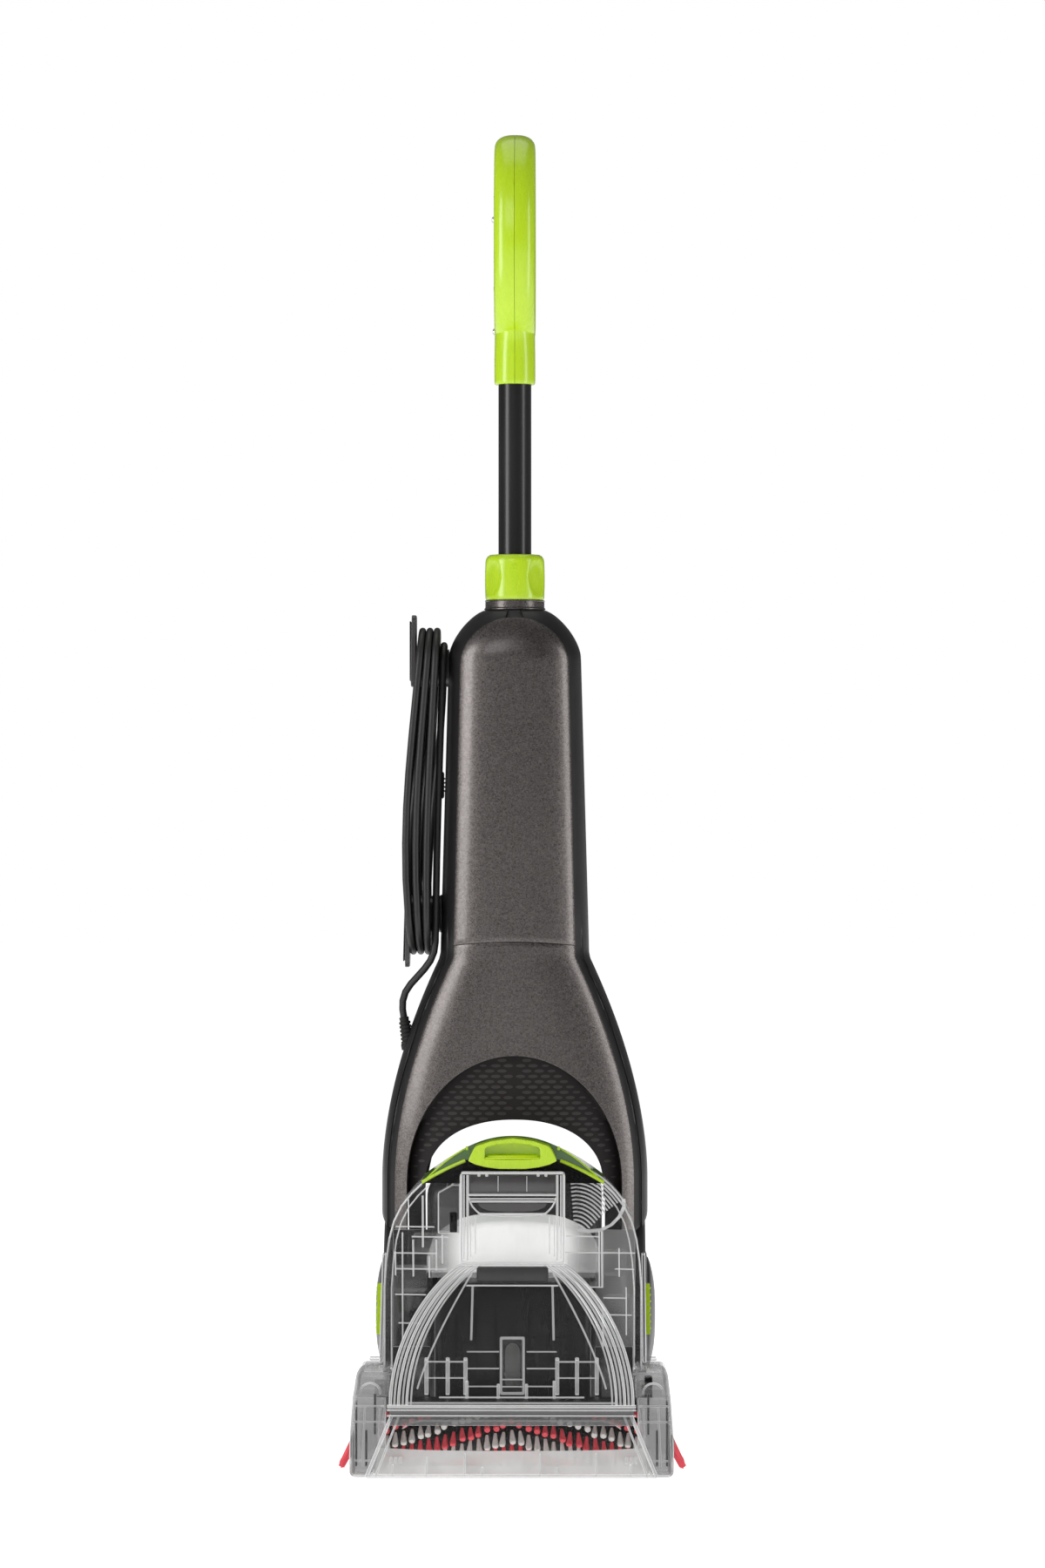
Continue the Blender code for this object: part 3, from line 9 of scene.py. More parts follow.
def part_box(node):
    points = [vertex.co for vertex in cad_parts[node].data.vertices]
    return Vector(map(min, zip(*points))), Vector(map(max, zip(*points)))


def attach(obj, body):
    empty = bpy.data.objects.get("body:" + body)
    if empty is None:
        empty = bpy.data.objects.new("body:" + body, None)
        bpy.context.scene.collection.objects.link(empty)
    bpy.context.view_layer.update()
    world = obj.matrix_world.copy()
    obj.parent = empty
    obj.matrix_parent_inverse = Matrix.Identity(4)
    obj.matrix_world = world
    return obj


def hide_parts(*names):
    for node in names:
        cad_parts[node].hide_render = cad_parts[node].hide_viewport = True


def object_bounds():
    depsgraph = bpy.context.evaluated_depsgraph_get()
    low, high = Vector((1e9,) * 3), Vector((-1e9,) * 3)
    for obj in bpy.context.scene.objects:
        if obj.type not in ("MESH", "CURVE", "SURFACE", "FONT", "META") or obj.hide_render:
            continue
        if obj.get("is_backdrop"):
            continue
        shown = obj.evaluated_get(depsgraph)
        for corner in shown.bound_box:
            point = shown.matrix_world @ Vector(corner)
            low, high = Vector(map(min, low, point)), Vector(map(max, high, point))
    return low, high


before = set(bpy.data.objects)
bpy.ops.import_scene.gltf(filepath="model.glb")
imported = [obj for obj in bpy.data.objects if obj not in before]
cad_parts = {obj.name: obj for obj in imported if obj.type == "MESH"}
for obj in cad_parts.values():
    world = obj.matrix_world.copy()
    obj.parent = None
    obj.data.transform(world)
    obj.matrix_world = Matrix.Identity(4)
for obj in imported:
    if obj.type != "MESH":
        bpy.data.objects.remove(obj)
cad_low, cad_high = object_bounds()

# ---- Studio: camera, floor and light ----------------------------------------------------------------------
# A long lens stands level with the column, a little to the machine's right. The floor is plain and almost
# white. Two tall soft boxes at the sides draw the long highlights, and a broad one in front fills.
scene = bpy.context.scene
scene.view_settings.view_transform = "Standard"
scene.cycles.transparent_max_bounces = 40

camera = bpy.data.objects.new("camera", bpy.data.cameras.new("camera"))
camera.location = (0.052, -4.406, 0.573)
camera.rotation_euler = (math.radians(90), 0.0, 0.0102)
camera.data.sensor_width = 36.0
camera.data.lens = 117.3
camera.data.clip_end = 60.0
scene.collection.objects.link(camera)
scene.camera = camera


def soft_box(name, place, aim, width, height, watts):
    """A tall area lamp that looks at a point."""
    lamp = bpy.data.lights.new(name, "AREA")
    lamp.shape = "RECTANGLE"
    lamp.size = width
    lamp.size_y = height
    lamp.energy = watts
    made = bpy.data.objects.new(name, lamp)
    made.location = place
    made.rotation_euler = (Vector(aim) - Vector(place)).to_track_quat("-Z", "Y").to_euler()
    scene.collection.objects.link(made)


soft_box("side_box_left", (-1.58, -1.05, 1.2), (0.0, 0.0, 1.2), 0.7, 1.7, 23.0)
soft_box("side_box_right", (1.72, -0.8, 0.9), (0.0, 0.0, 0.9), 0.45, 2.0, 13.5)
soft_box("front_box", (-0.9, -3.2, 2.3), (0.0, 0.0, 0.35), 1.6, 1.2, 14.0)
soft_box("top_box", (0.0, 0.3, 2.8), (0.0, 0.0, 0.3), 1.8, 1.8, 12.0)

world = bpy.data.worlds.new("studio")
scene.world = world
world.use_nodes = True
sky = world.node_tree.nodes["Background"]
sky.inputs["Color"].default_value = (0.15, 0.15, 0.15, 1.0)
backdrop = world.node_tree.nodes.new("ShaderNodeBackground")
backdrop.inputs["Color"].default_value = (1.0, 1.0, 1.0, 1.0)
seen = world.node_tree.nodes.new("ShaderNodeLightPath")
choice = world.node_tree.nodes.new("ShaderNodeMixShader")
world.node_tree.links.new(seen.outputs["Is Camera Ray"], choice.inputs[0])
world.node_tree.links.new(sky.outputs[0], choice.inputs[1])
world.node_tree.links.new(backdrop.outputs[0], choice.inputs[2])
world.node_tree.links.new(choice.outputs[0], world.node_tree.nodes["World Output"].inputs["Surface"])


class Signal:
    """An output of a material's nodes. Sums on it add Math nodes, and node() adds any other kind."""

    def __init__(self, tree, socket=None):
        self.tree = tree
        self.socket = socket

    def node(self, kind, settings=None, sockets=None, out=0):
        made = self.tree.nodes.new("ShaderNode" + kind)
        for key, value in (settings or {}).items():
            setattr(made, key, value)
        for key, value in (sockets or {}).items():
            if isinstance(value, Signal):
                self.tree.links.new(value.socket, made.inputs[key])
            else:
                made.inputs[key].default_value = value
        return Signal(self.tree, made.outputs[out])

    def math(self, operation, first, second=0.0):
        return self.node("Math", {"operation": operation}, {0: first, 1: second})

    def __add__(self, other):
        return self.math("ADD", self, other)

    def __radd__(self, other):
        return self.math("ADD", other, self)

    def __sub__(self, other):
        return self.math("SUBTRACT", self, other)

    def __rsub__(self, other):
        return self.math("SUBTRACT", other, self)

    def __mul__(self, other):
        return self.math("MULTIPLY", self, other)

    def __rmul__(self, other):
        return self.math("MULTIPLY", other, self)

    def __pow__(self, power):
        return self.math("POWER", self, power)

    def noise(self, size, detail=2.0, stretch=(1.0, 1.0, 1.0)):
        """Noise of about the given grain size in metres, on this place."""
        laid = self.node("Mapping", None, {"Vector": self, "Scale": stretch})
        return laid.node("TexNoise", None, {"Vector": laid, "Scale": 1.0 / size, "Detail": detail})

    def bump(self, height, depth, strength=1.0):
        return self.node("Bump", None, {"Height": height, "Distance": depth, "Strength": strength})

    def between(self, first, second, share):
        """A colour between two, by a share."""
        return self.node("Mix", {"data_type": "RGBA"}, {0: share, 6: (*first, 1.0), 7: (*second, 1.0)}, 2)


WHITE = (1.0, 1.0, 1.0, 1.0)


def finish(name, slot, paint, **constants):
    """A Principled finish. slot is not used. paint turns the place signal into what varies over the surface.
    """
    made = bpy.data.materials.new(name)
    made.use_nodes = True
    tree = made.node_tree
    shader = tree.nodes["Principled BSDF"]
    for key, value in constants.items():
        shader.inputs[key.replace("_", " ")].default_value = value
    place = Signal(tree).node("TexCoord", out="Object")
    for key, value in paint(place).items():
        tree.links.new(value.socket, shader.inputs[key])
    return made


def floor_paint(place):
    tone = place.noise(0.4)
    return {"Base Color": place.between((0.86, 0.86, 0.86), (0.9, 0.9, 0.9), tone)}


def piece(name, bm, looks, body, nodes=(), angle=35.0, side=1):
    """Makes a piece that rides on a body and stands for some CAD nodes. Side -1 mirrors it to the left."""
    if side < 0:
        bmesh.ops.scale(bm, verts=bm.verts, vec=(-1.0, 1.0, 1.0))
    bmesh.ops.remove_doubles(bm, verts=bm.verts, dist=1e-6)
    bmesh.ops.recalc_face_normals(bm, faces=bm.faces)
    mesh = bpy.data.meshes.new(name)
    bm.to_mesh(mesh)
    bm.free()
    for look in looks:
        mesh.materials.append(look)
    mesh.shade_smooth()
    mesh.set_sharp_from_angle(angle=math.radians(angle))
    made = bpy.data.objects.new(name, mesh)
    scene.collection.objects.link(made)
    if body:
        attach(made, body)
    if nodes:
        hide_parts(*nodes)
    return made


bm = bmesh.new()
bmesh.ops.create_circle(bm, cap_ends=True, segments=96, radius=14.0)
floor = piece("floor", bm, [finish("pale_floor", None, floor_paint, Roughness=0.95, Emission_Strength=0.92,
    Emission_Color=WHITE)], None)
floor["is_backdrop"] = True


# ---- Mains cord: lead, hank, strain relief and plug -------------------------------------------------------
# Twenty feet of round two-core cord in a black jacket leave a ribbed rubber boot on the left of the fork.
# They rise to the hooks and are wound round them ten times. The last turn ends behind the hank in a flat
# moulded plug.
CORD = 0.0062
PITCH = 0.00628
COLUMN_Y = 0.04
SHOULDER_Z = 0.683
SHOULDER_HALF = 0.0576
TAPER = 0.02783
UPPER_POST_Z = 0.6735
LOWER_POST_Z = 0.46
LEAD = [(-0.0965, 0.037, 0.37), (-0.0976, 0.0366, 0.377), (-0.0974, 0.0352, 0.3845),
    (-0.095, 0.0331, 0.3922), (-0.0903, 0.0303, 0.3993), (-0.0842, 0.0272, 0.406), (-0.0782, 0.0243, 0.4127),
    (-0.0731, 0.0219, 0.4198), (-0.0699, 0.0204, 0.4275), (-0.0687, 0.02, 0.436)]


def smooth(share):
    share = min(max(share, 0.0), 1.0)
    return share * share * (3 - 2 * share)


def column_side(z):
    """The X of the column's left side, where the cord lies beside it."""
    return -(SHOULDER_HALF + TAPER * (SHOULDER_Z - z)) - 0.0008


def hank_x(z, column):
    """The X of a column of turns at a height: the turns belly outwards between the hooks."""
    rise = min(max((z - 0.425) / (0.712 - 0.425), 0.0), 1.0)
    belly = math.sin(math.pi * rise ** 0.72) ** 1.3
    return column_side(z) - 0.0003 - (column + 0.5) * PITCH - belly * (0.0006 + 0.0028 * column)


def hank_route():
    """The centreline up and round both hooks ten times; the lead before it and the drop to the plug are
    added outside.
    """
    luck = Random(7)
    turns = [(0, 0), (1, 0), (2, 0), (3, 0), (3, 1), (2, 1), (1, 1), (1, 2), (2, 2), (3, 2)]
    points = []
    for i, (column, layer) in enumerate(turns):
        after = turns[i + 1] if i + 1 < len(turns) else None
        radius = 0.02 + layer * PITCH
        sway = luck.uniform(-0.0007, 0.0007)
        for step in range(7):
            share = (step + (2 if i == 0 else 0)) / (9 if i == 0 else 7)
            z = LOWER_POST_Z + (UPPER_POST_Z - LOWER_POST_Z) * min(share, 1.0)
            lean = sway * math.sin(math.pi * min(share, 1.0))
            points.append((hank_x(z, column) + lean, COLUMN_Y - radius - 0.6 * abs(lean), z))
        for step in range(13):
            angle = math.pi * step / 12
            z = UPPER_POST_Z + radius * math.sin(angle)
            points.append((hank_x(z, column), COLUMN_Y - radius * math.cos(angle), z))
        if after is None:
            break
        next_radius = 0.02 + after[1] * PITCH
        for step in range(1, 8):
            share = step / 8
            ease = smooth(share)
            z = UPPER_POST_Z + (LOWER_POST_Z - UPPER_POST_Z) * share
            x = hank_x(z, column + (after[0] - column) * ease)
            points.append((x, COLUMN_Y + radius + (next_radius - radius) * ease, z))
        for step in range(13):
            angle = math.pi * step / 12
            z = LOWER_POST_Z - next_radius * math.sin(angle)
            points.append((hank_x(z, after[0]), COLUMN_Y + next_radius * math.cos(angle), z))
    return points


def cord_paint(place):
    flow = place.noise(0.0035, 3.0)
    scuff = place.noise(0.03, 3.0)
    return {"Base Color": place.between((0.006, 0.006, 0.006), (0.016, 0.015, 0.015), scuff),
        "Roughness": 0.34 + 0.22 * scuff, "Normal": place.bump(flow, 0.00008, 0.5)}


cord_finish = finish("cord_jacket", "cord_jacket", cord_paint, Specular_IOR_Level=0.45)
plug_low, plug_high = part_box("cord_plug")
plug_middle = (plug_low + plug_high) / 2
route = [Vector(point) for point in LEAD + hank_route()]
start = route[-1]
end = Vector((plug_middle.x, plug_middle.y, plug_high.z + 0.004))
for step in range(1, 9):
    share = step / 8
    ease = smooth(share)
    route.append(Vector((start.x + (end.x - start.x) * ease, start.y + (end.y - start.y) * ease,
        start.z + (end.z - start.z) * share)))

curve = bpy.data.curves.new("mains_cord", "CURVE")
curve.dimensions = "3D"
curve.bevel_depth = CORD / 2
curve.bevel_resolution = 4
curve.use_fill_caps = True
spline = curve.splines.new("POLY")
spline.points.add(len(route) - 1)
for target, point in zip(spline.points, route):
    target.co = (*point, 1.0)
    target.radius = 1.0
curve.materials.append(cord_finish)
mains_cord = bpy.data.objects.new("mains_cord", curve)
scene.collection.objects.link(mains_cord)
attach(mains_cord, "upright")
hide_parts("cord_lead", "cord_hank")


def lathe(bm, profile, centre, axis="Z", steps=48):
    """Spins an open or closed profile of (radius, distance along the axis) round an axis through centre."""
    turn = {"Z": Matrix.Identity(3), "X": Matrix.Rotation(math.radians(90), 3, "Y"),
        "Y": Matrix.Rotation(math.radians(-90), 3, "X")}[axis]
    verts = [bm.verts.new((radius, 0.0, along)) for radius, along in profile]
    edges = [bm.edges.new((a, b)) for a, b in zip(verts, verts[1:])]
    if profile[0][0] > 1e-9 and profile[-1][0] > 1e-9:
        edges.append(bm.edges.new((verts[-1], verts[0])))
    before = set(bm.verts) - set(verts)
    bmesh.ops.spin(bm, geom=verts + edges, cent=(0, 0, 0), axis=(0, 0, 1), angle=math.tau, steps=steps,
        use_merge=True)
    made = [vert for vert in bm.verts if vert not in before]
    bmesh.ops.remove_doubles(bm, verts=made, dist=1e-7)
    made = [vert for vert in bm.verts if vert not in before]
    bmesh.ops.rotate(bm, verts=made, cent=(0, 0, 0), matrix=turn)
    bmesh.ops.translate(bm, verts=made, vec=centre)
    return made


def rounded(bm, edges, offset, segments, clamp=False):
    """Rounds some edges, and gives back the new faces."""
    return bmesh.ops.bevel(bm, geom=edges, offset=offset, offset_type="OFFSET", affect="EDGES",
        segments=segments, profile=0.5, material=-1, clamp_overlap=clamp)["faces"]


def block(bm, low, high, bevel=0.0, segments=2):
    """A box between two corners, with rounded edges."""
    low, high = Vector(low), Vector(high)
    matrix = Matrix.Translation((low + high) / 2) @ Matrix.Diagonal((*(high - low), 1.0))
    before = set(bm.verts)
    made = bmesh.ops.create_cube(bm, size=1.0, matrix=matrix)["verts"]
    if bevel:
        rounded(bm, list({edge for vert in made for edge in vert.link_edges}), bevel, segments)
    return [vert for vert in bm.verts if vert not in before]


def rubber_paint(place):
    cloud = place.noise(0.02, 4.0)
    grit = place.noise(0.0008, 2.0)
    return {"Base Color": place.between((0.01, 0.01, 0.01), (0.024, 0.023, 0.022), cloud),
        "Roughness": 0.62 + 0.2 * cloud, "Normal": place.bump(grit, 0.00015, 0.6)}


rubber = finish("black_rubber", "rubber", rubber_paint, Specular_IOR_Level=0.3)
gland_base = Vector((-0.0925, 0.037, 0.3465))
gland_tip = Vector(LEAD[0])
gland_along = (gland_tip - gland_base).normalized()
gland_length = (gland_tip - gland_base).length
profile = [(0.0, -0.004), (0.0066, -0.004), (0.0066, 0.0005)]
for rib in range(6):
    low = 0.0012 + rib * 0.0034
    outer = 0.0061 - 0.0014 * low / gland_length
    profile += [(outer, low), (outer, low + 0.0019), (outer - 0.0011, low + 0.0022),
        (outer - 0.0011, low + 0.0031)]
profile += [(0.0043, gland_length), (0.0031, gland_length + 0.0004), (0.0, gland_length + 0.0004)]
bm = bmesh.new()
lathe(bm, profile, (0, 0, 0), "Z", 28)
bmesh.ops.rotate(bm, verts=bm.verts, cent=(0, 0, 0), matrix=gland_along.to_track_quat("Z", "Y").to_matrix())
bmesh.ops.translate(bm, verts=bm.verts, vec=gland_base)
piece("strain_relief", bm, [rubber], "upright", ["cord_gland"])

bm = bmesh.new()
block(bm, (plug_low.x, plug_low.y + 0.003, plug_low.z), (plug_high.x, plug_high.y - 0.003,
    plug_high.z - 0.012), 0.0022, 3)
profile = [(0.0, plug_high.z - 0.014), (0.0072, plug_high.z - 0.014)]
for rib in range(5):
    low = plug_high.z - 0.012 + rib * 0.003
    outer = 0.0068 - rib * 0.0005
    profile += [(outer, low), (outer, low + 0.0018), (outer - 0.0009, low + 0.0021),
        (outer - 0.0009, low + 0.0027)]
profile += [(0.0034, plug_high.z + 0.005), (0.0, plug_high.z + 0.005)]
lathe(bm, profile, (plug_middle.x, plug_middle.y, 0), "Z", 24)
for side in (-1, 1):
    for ridge in range(4):
        low = plug_low.z + 0.006 + ridge * 0.0036
        edge = plug_middle.x + side * 0.0115
        block(bm, (min(edge, edge + side * 0.0008), plug_low.y + 0.006, low),
            (max(edge, edge + side * 0.0008), plug_high.y - 0.006, low + 0.0016), 0.0003, 1)
plug_body = piece("plug_body", bm, [rubber], "upright", ["cord_plug"])


def drawn_paint(low, high, grain, stretch, rough, depth, strength, detail=3.0):
    """Drawn or rolled metal: fine streaks in its tone and gloss. rough gives the least and the range."""
    def paint(place):
        drawn = place.noise(grain, detail, stretch)
        return {"Base Color": place.between(low, high, drawn), "Roughness": rough[0] + rough[1] * drawn,
            "Normal": place.bump(drawn, depth, strength)}
    return paint


brass = finish("nickel_brass", "steel", drawn_paint((0.6, 0.44, 0.2), (0.78, 0.6, 0.3), 0.0006,
    (1.0, 1.0, 0.05), (0.24, 0.16), 0.00003, 0.5), Metallic=1.0)
bm = bmesh.new()
for side in (-1, 1):
    x = plug_middle.x + side * 0.0063
    block(bm, (x - 0.00075, plug_middle.y - 0.0031, plug_low.z - 0.0165),
        (x + 0.00075, plug_middle.y + 0.0031, plug_low.z + 0.001), 0.0004, 2)
plug_blades = piece("plug_blades", bm, [brass], "upright")


# ---- Column shell: the black back of the column and of the fork -------------------------------------------
# One black moulding wraps the sides and the back of the column, swells at the shoulder and flares into a
# fork over the wheels. Its front is a shallow groove that the grey covers sit in. Screws in deep bosses hold
# the covers.
NECK_Z = 0.7236
CROWN_Z = 0.7239
NECK_HALF = 0.0265
HALF_DEPTH = 0.045
WAIST_Z = 0.4236
WAIST_HALF = 0.0648
WIDEST_Z = 0.2318
WIDEST_HALF = 0.1155
BOTTOM_Z = 0.176
OPENING_TOP_Z = 0.2832
OPENING_LOW_Z = 0.226
OPENING_HALF = 0.0775
AXLE_Y = 0.099
AXLE_Z = 0.107


def shoulder(z, full):
    """A half size that shrinks from full to the neck's radius over the shoulder."""
    rise = min((z - SHOULDER_Z) / (CROWN_Z - SHOULDER_Z), 1.0)
    return NECK_HALF + (full - NECK_HALF) * (1 - rise ** 1.6) ** 0.74


def half_width(z):
    """Half the width of the column and fork at a height."""
    if z >= SHOULDER_Z:
        return shoulder(z, SHOULDER_HALF)
    if z >= WAIST_Z:
        return SHOULDER_HALF + TAPER * (SHOULDER_Z - z)
    fall = min((WAIST_Z - z) / (WAIST_Z - WIDEST_Z), 1.0)
    return WAIST_HALF + (WIDEST_HALF - WAIST_HALF) * (1 - (1 - fall) ** 1.8)


def half_depth(z):
    return HALF_DEPTH if z <= SHOULDER_Z else shoulder(z, HALF_DEPTH)


def squareness(z):
    return 2.6 - 0.6 * min(max((z - SHOULDER_Z) / (CROWN_Z - SHOULDER_Z), 0.0), 1.0)


def front_y(x, z, inset=0.0):
    """The column's front surface at a point seen from the front, moved in by inset."""
    power = squareness(z)
    share = min(abs(x) / (half_width(z) - inset), 1.0)
    return COLUMN_Y - (half_depth(z) - inset) * (1 - share ** power) ** (1 / power)


def cover_half_width(z):
    top = SHOULDER_Z - 0.008
    if z >= top:
        rise = min((z - top) / 0.042, 1.0)
        return 0.047 * math.sqrt(1 - rise * rise)
    if z >= WAIST_Z:
        return 0.047 + 0.0057 * (top - z) / (top - WAIST_Z)
    return half_width(z) - 0.0121


def opening_half_width(z):
    """Half the width of the way through under the column; zero above its top."""
    rise = (z - OPENING_LOW_Z) / (OPENING_TOP_Z - OPENING_LOW_Z)
    return 0.0 if rise >= 1 else OPENING_HALF * (1 - max(rise, 0.0) ** 2.2) ** (1 / 2.2)


def laid_grid(bm, columns, levels, form):
    """A grid with a row for each level. form takes the share across and the level, and gives a place."""
    made = bmesh.ops.create_grid(bm, x_segments=columns, y_segments=len(levels) - 1, size=0.5)["verts"]
    for vert in made:
        vert.co = form(vert.co.x + 0.5, levels[round((vert.co.y + 0.5) * (len(levels) - 1))])
    return made


def walled(made, wall, inside, rim=0.0004):
    """Gives a sheet a wall behind its face, and softens its rims. inside is a point behind the face."""
    mesh = made.data
    outward = sum((face.center - Vector(inside)).dot(face.normal) * face.area for face in mesh.polygons)
    if outward < 0:
        mesh.flip_normals()
    thick = made.modifiers.new("wall", "SOLIDIFY")
    thick.thickness = wall
    thick.offset = -1.0
    thick.use_even_offset = True
    if rim:
        soften(made, rim)
    return made


def soften(made, width, segments=2, angle=38.0):
    bevel = made.modifiers.new("soft_edges", "BEVEL")
    bevel.width = width
    bevel.segments = segments
    bevel.limit_method = "ANGLE"
    bevel.angle_limit = math.radians(angle)
    return made


def moulded_paint(dark, light, rough, grain=0.0007):
    """Moulded plastic: slow cloud in colour and gloss, fine grain, and faint rub marks."""
    def paint(place):
        cloud = place.noise(0.05, 3.0)
        fine = place.noise(grain, 2.0)
        rub = place.noise(0.004, 4.0, (1.0, 1.0, 0.15))
        return {"Base Color": place.between(dark, light, cloud * 0.6 + rub * 0.4),
            "Roughness": rough + 0.14 * rub + 0.05 * cloud - 0.08,
            "Normal": place.bump(fine, grain * 0.12, 0.5)}
    return paint


black_plastic = finish("black_plastic", "black_plastic", moulded_paint((0.006, 0.0055, 0.006),
    (0.016, 0.0145, 0.0145), 0.34), Specular_IOR_Level=0.36)


def shell_section(share, z):
    """A point on the shell: round the back, from the groove behind one cover edge to the other."""
    power = squareness(z)
    wide = half_width(z)
    edge = min(max((cover_half_width(z) - 0.004) / wide, 0.2), 0.94)
    begin = math.asin(edge ** (power / 2))
    angle = begin + (math.tau - 2 * begin) * share
    across, back = math.sin(angle), -math.cos(angle)
    x = wide * math.copysign(abs(across) ** (2 / power), across)
    y = COLUMN_Y + half_depth(z) * math.copysign(abs(back) ** (2 / power), back)
    if y < COLUMN_Y:
        fade = smooth((0.47 - z) / 0.05)
        y += 0.0026 * fade * smooth((wide - abs(x) - 0.0052) / 0.0016)
    return Vector((x, y, z))


def shell_foot(share):
    """How far down the shell reaches: to the wheels' space at its sides, to the way through at its back."""
    z = 0.4
    while z > BOTTOM_Z:
        point = shell_section(share, z - 0.001)
        in_wheel = (point.y - AXLE_Y) ** 2 + (point.z - AXLE_Z) ** 2 < 0.1135 ** 2
        if in_wheel or (point.y > COLUMN_Y and abs(point.x) < opening_half_width(point.z)):
            break
        z -= 0.001
    return max(z, BOTTOM_Z)


COLUMNS = 168
feet = [shell_foot(i / COLUMNS) for i in range(COLUMNS + 1)]
feet = [sum(feet[max(i - 1, 0):i + 2]) / len(feet[max(i - 1, 0):i + 2]) for i in range(COLUMNS + 1)]
shares = [0.0742 * (i / 22) for i in range(22)] + [0.0742 + 0.9258 * i / 92 for i in range(93)]
bm = bmesh.new()
laid_grid(bm, COLUMNS, shares, lambda across, down: shell_section(across,
    NECK_Z + (feet[round(across * COLUMNS)] - NECK_Z) * down))
walled(piece("column_shell", bm, [black_plastic], "upright", ["rear_shell"], 30), 0.003, (0, COLUMN_Y, 0.4),
    0.0006)


steel = finish("steel", "steel", drawn_paint((0.42, 0.42, 0.43), (0.62, 0.62, 0.62), 0.0009, (1.0, 1.0, 0.1),
    (0.24, 0.2), 0.00004, 0.4), Metallic=1.0)


def screw(bm, centre, radius, turn):
    """A pan head with a cross recess, modelled facing +Z, then turned to face outwards."""
    rim = [(0.0, 0.0), (radius, 0.0), (radius, radius * 0.3), (radius * 0.78, radius * 0.62),
        (0.0, radius * 0.7)]
    made = lathe(bm, rim, (0, 0, 0), "Z", 20)
    for length, width in ((0.62, 0.16), (0.16, 0.62)):
        made += block(bm, (-radius * length, -radius * width, radius * 0.66),
            (radius * length, radius * width, radius * 0.74), radius * 0.03, 1)
    bmesh.ops.rotate(bm, verts=made, cent=(0, 0, 0), matrix=turn)
    bmesh.ops.translate(bm, verts=made, vec=centre)


back_y = COLUMN_Y + HALF_DEPTH
screw_spots = []
for x, z in ((0.03, 0.672), (0.033, 0.5), (0.078, 0.3)):
    y = 2 * COLUMN_Y - front_y(x, z)
    screw_spots += [(-x, y, z), (x, y, z)]
bm = bmesh.new()
for x, y, z in screw_spots:
    profile = [(0.0026, 0.0006), (0.003, 0.0016), (0.0052, 0.0016), (0.006, -0.001), (0.0026, -0.001)]
    made = lathe(bm, profile, (0, 0, 0), "Y", 28)
    bmesh.ops.translate(bm, verts=made, vec=(x, y - 0.0002, z))
piece("screw_bosses", bm, [black_plastic], "upright")
bm = bmesh.new()
for x, y, z in screw_spots:
    screw(bm, (x, y - 0.0012, z), 0.0026, Matrix.Rotation(math.radians(-90), 3, "X"))
piece("cover_screws", bm, [steel], "upright")


# ---- Back of the column: switch frame, rating plate and cooling slots -------------------------------------
# The rocker sits in a raised frame near the top of the back. A blank foil plate, and a field of moulded
# slots, lie under it on the flat of the moulding.
SPOTS = {
    "X": lambda a, b, level: (level, a, b),
    "Y": lambda a, b, level: (a, level, b),
    "Z": lambda a, b, level: (a, b, level),
}


def thickened(bm, faces, normal, low, high):
    """Draws flat faces out from low to high, and gives back the moved corners."""
    grown = bmesh.ops.extrude_face_region(bm, geom=faces)["geom"]
    moved = [item for item in grown if isinstance(item, bmesh.types.BMVert)]
    bmesh.ops.translate(bm, verts=moved, vec=Vector(SPOTS[normal](0, 0, high))
        - Vector(SPOTS[normal](0, 0, low)))
    return moved


def prism(bm, outline, normal, low, high):
    """A flat outline, given in the two axes across normal, made thick from low to high."""
    first = [bm.verts.new(SPOTS[normal](a, b, low)) for a, b in outline]
    return first + thickened(bm, [bm.faces.new(first)], normal, low, high)


def arc(centre, radius, start, end, steps):
    """Points on an arc in a plane, its angles in degrees."""
    angles = [math.radians(start + (end - start) * i / steps) for i in range(steps + 1)]
    return [(centre[0] + radius * math.cos(angle), centre[1] + radius * math.sin(angle)) for angle in angles]


def round_rect(left, bottom, right, top, radius, steps=5):
    corners = ((right - radius, bottom + radius), (right - radius, top - radius),
        (left + radius, top - radius), (left + radius, bottom + radius))
    return [point for i, corner in enumerate(corners) for point in arc(corner, radius, 90 * i - 90, 90 * i,
        steps)]


def framed(bm, outer, inner, normal, low, high):
    """A flat ring between two outlines with the same number of points."""
    rings = []
    for outline in (outer, inner):
        verts = [bm.verts.new(SPOTS[normal](a, b, low)) for a, b in outline]
        rings.append([bm.edges.new((a, b)) for a, b in zip(verts, verts[1:] + verts[:1])])
    thickened(bm, bmesh.ops.bridge_loops(bm, edges=rings[0] + rings[1])["faces"], normal, low, high)


switch_low, switch_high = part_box("power_switch")
bm = bmesh.new()
framed(bm, round_rect(switch_low.x - 0.0055, switch_low.z - 0.0075, switch_high.x + 0.0055,
    switch_high.z + 0.0075, 0.0045), round_rect(switch_low.x - 0.0007, switch_low.z - 0.0024,
    switch_high.x + 0.0007, switch_high.z + 0.0024, 0.0012), "Y", back_y - 0.0015, back_y + 0.0022)
soften(piece("switch_frame", bm, [black_plastic], "upright"), 0.0006)

bm = bmesh.new()
for row in range(9):
    z = 0.593 - row * 0.0062
    prism(bm, round_rect(-0.019, z - 0.0013, 0.019, z + 0.0013, 0.0012, 3), "Y", back_y - 0.001,
        back_y + 0.0009)
for side in (-1, 1):
    prism(bm, round_rect(side * 0.0225 - 0.0012, 0.54, side * 0.0225 + 0.0012, 0.5965, 0.0011, 3), "Y",
        back_y - 0.001, back_y + 0.0013)
soften(piece("cooling_ribs", bm, [black_plastic], "upright"), 0.0004)


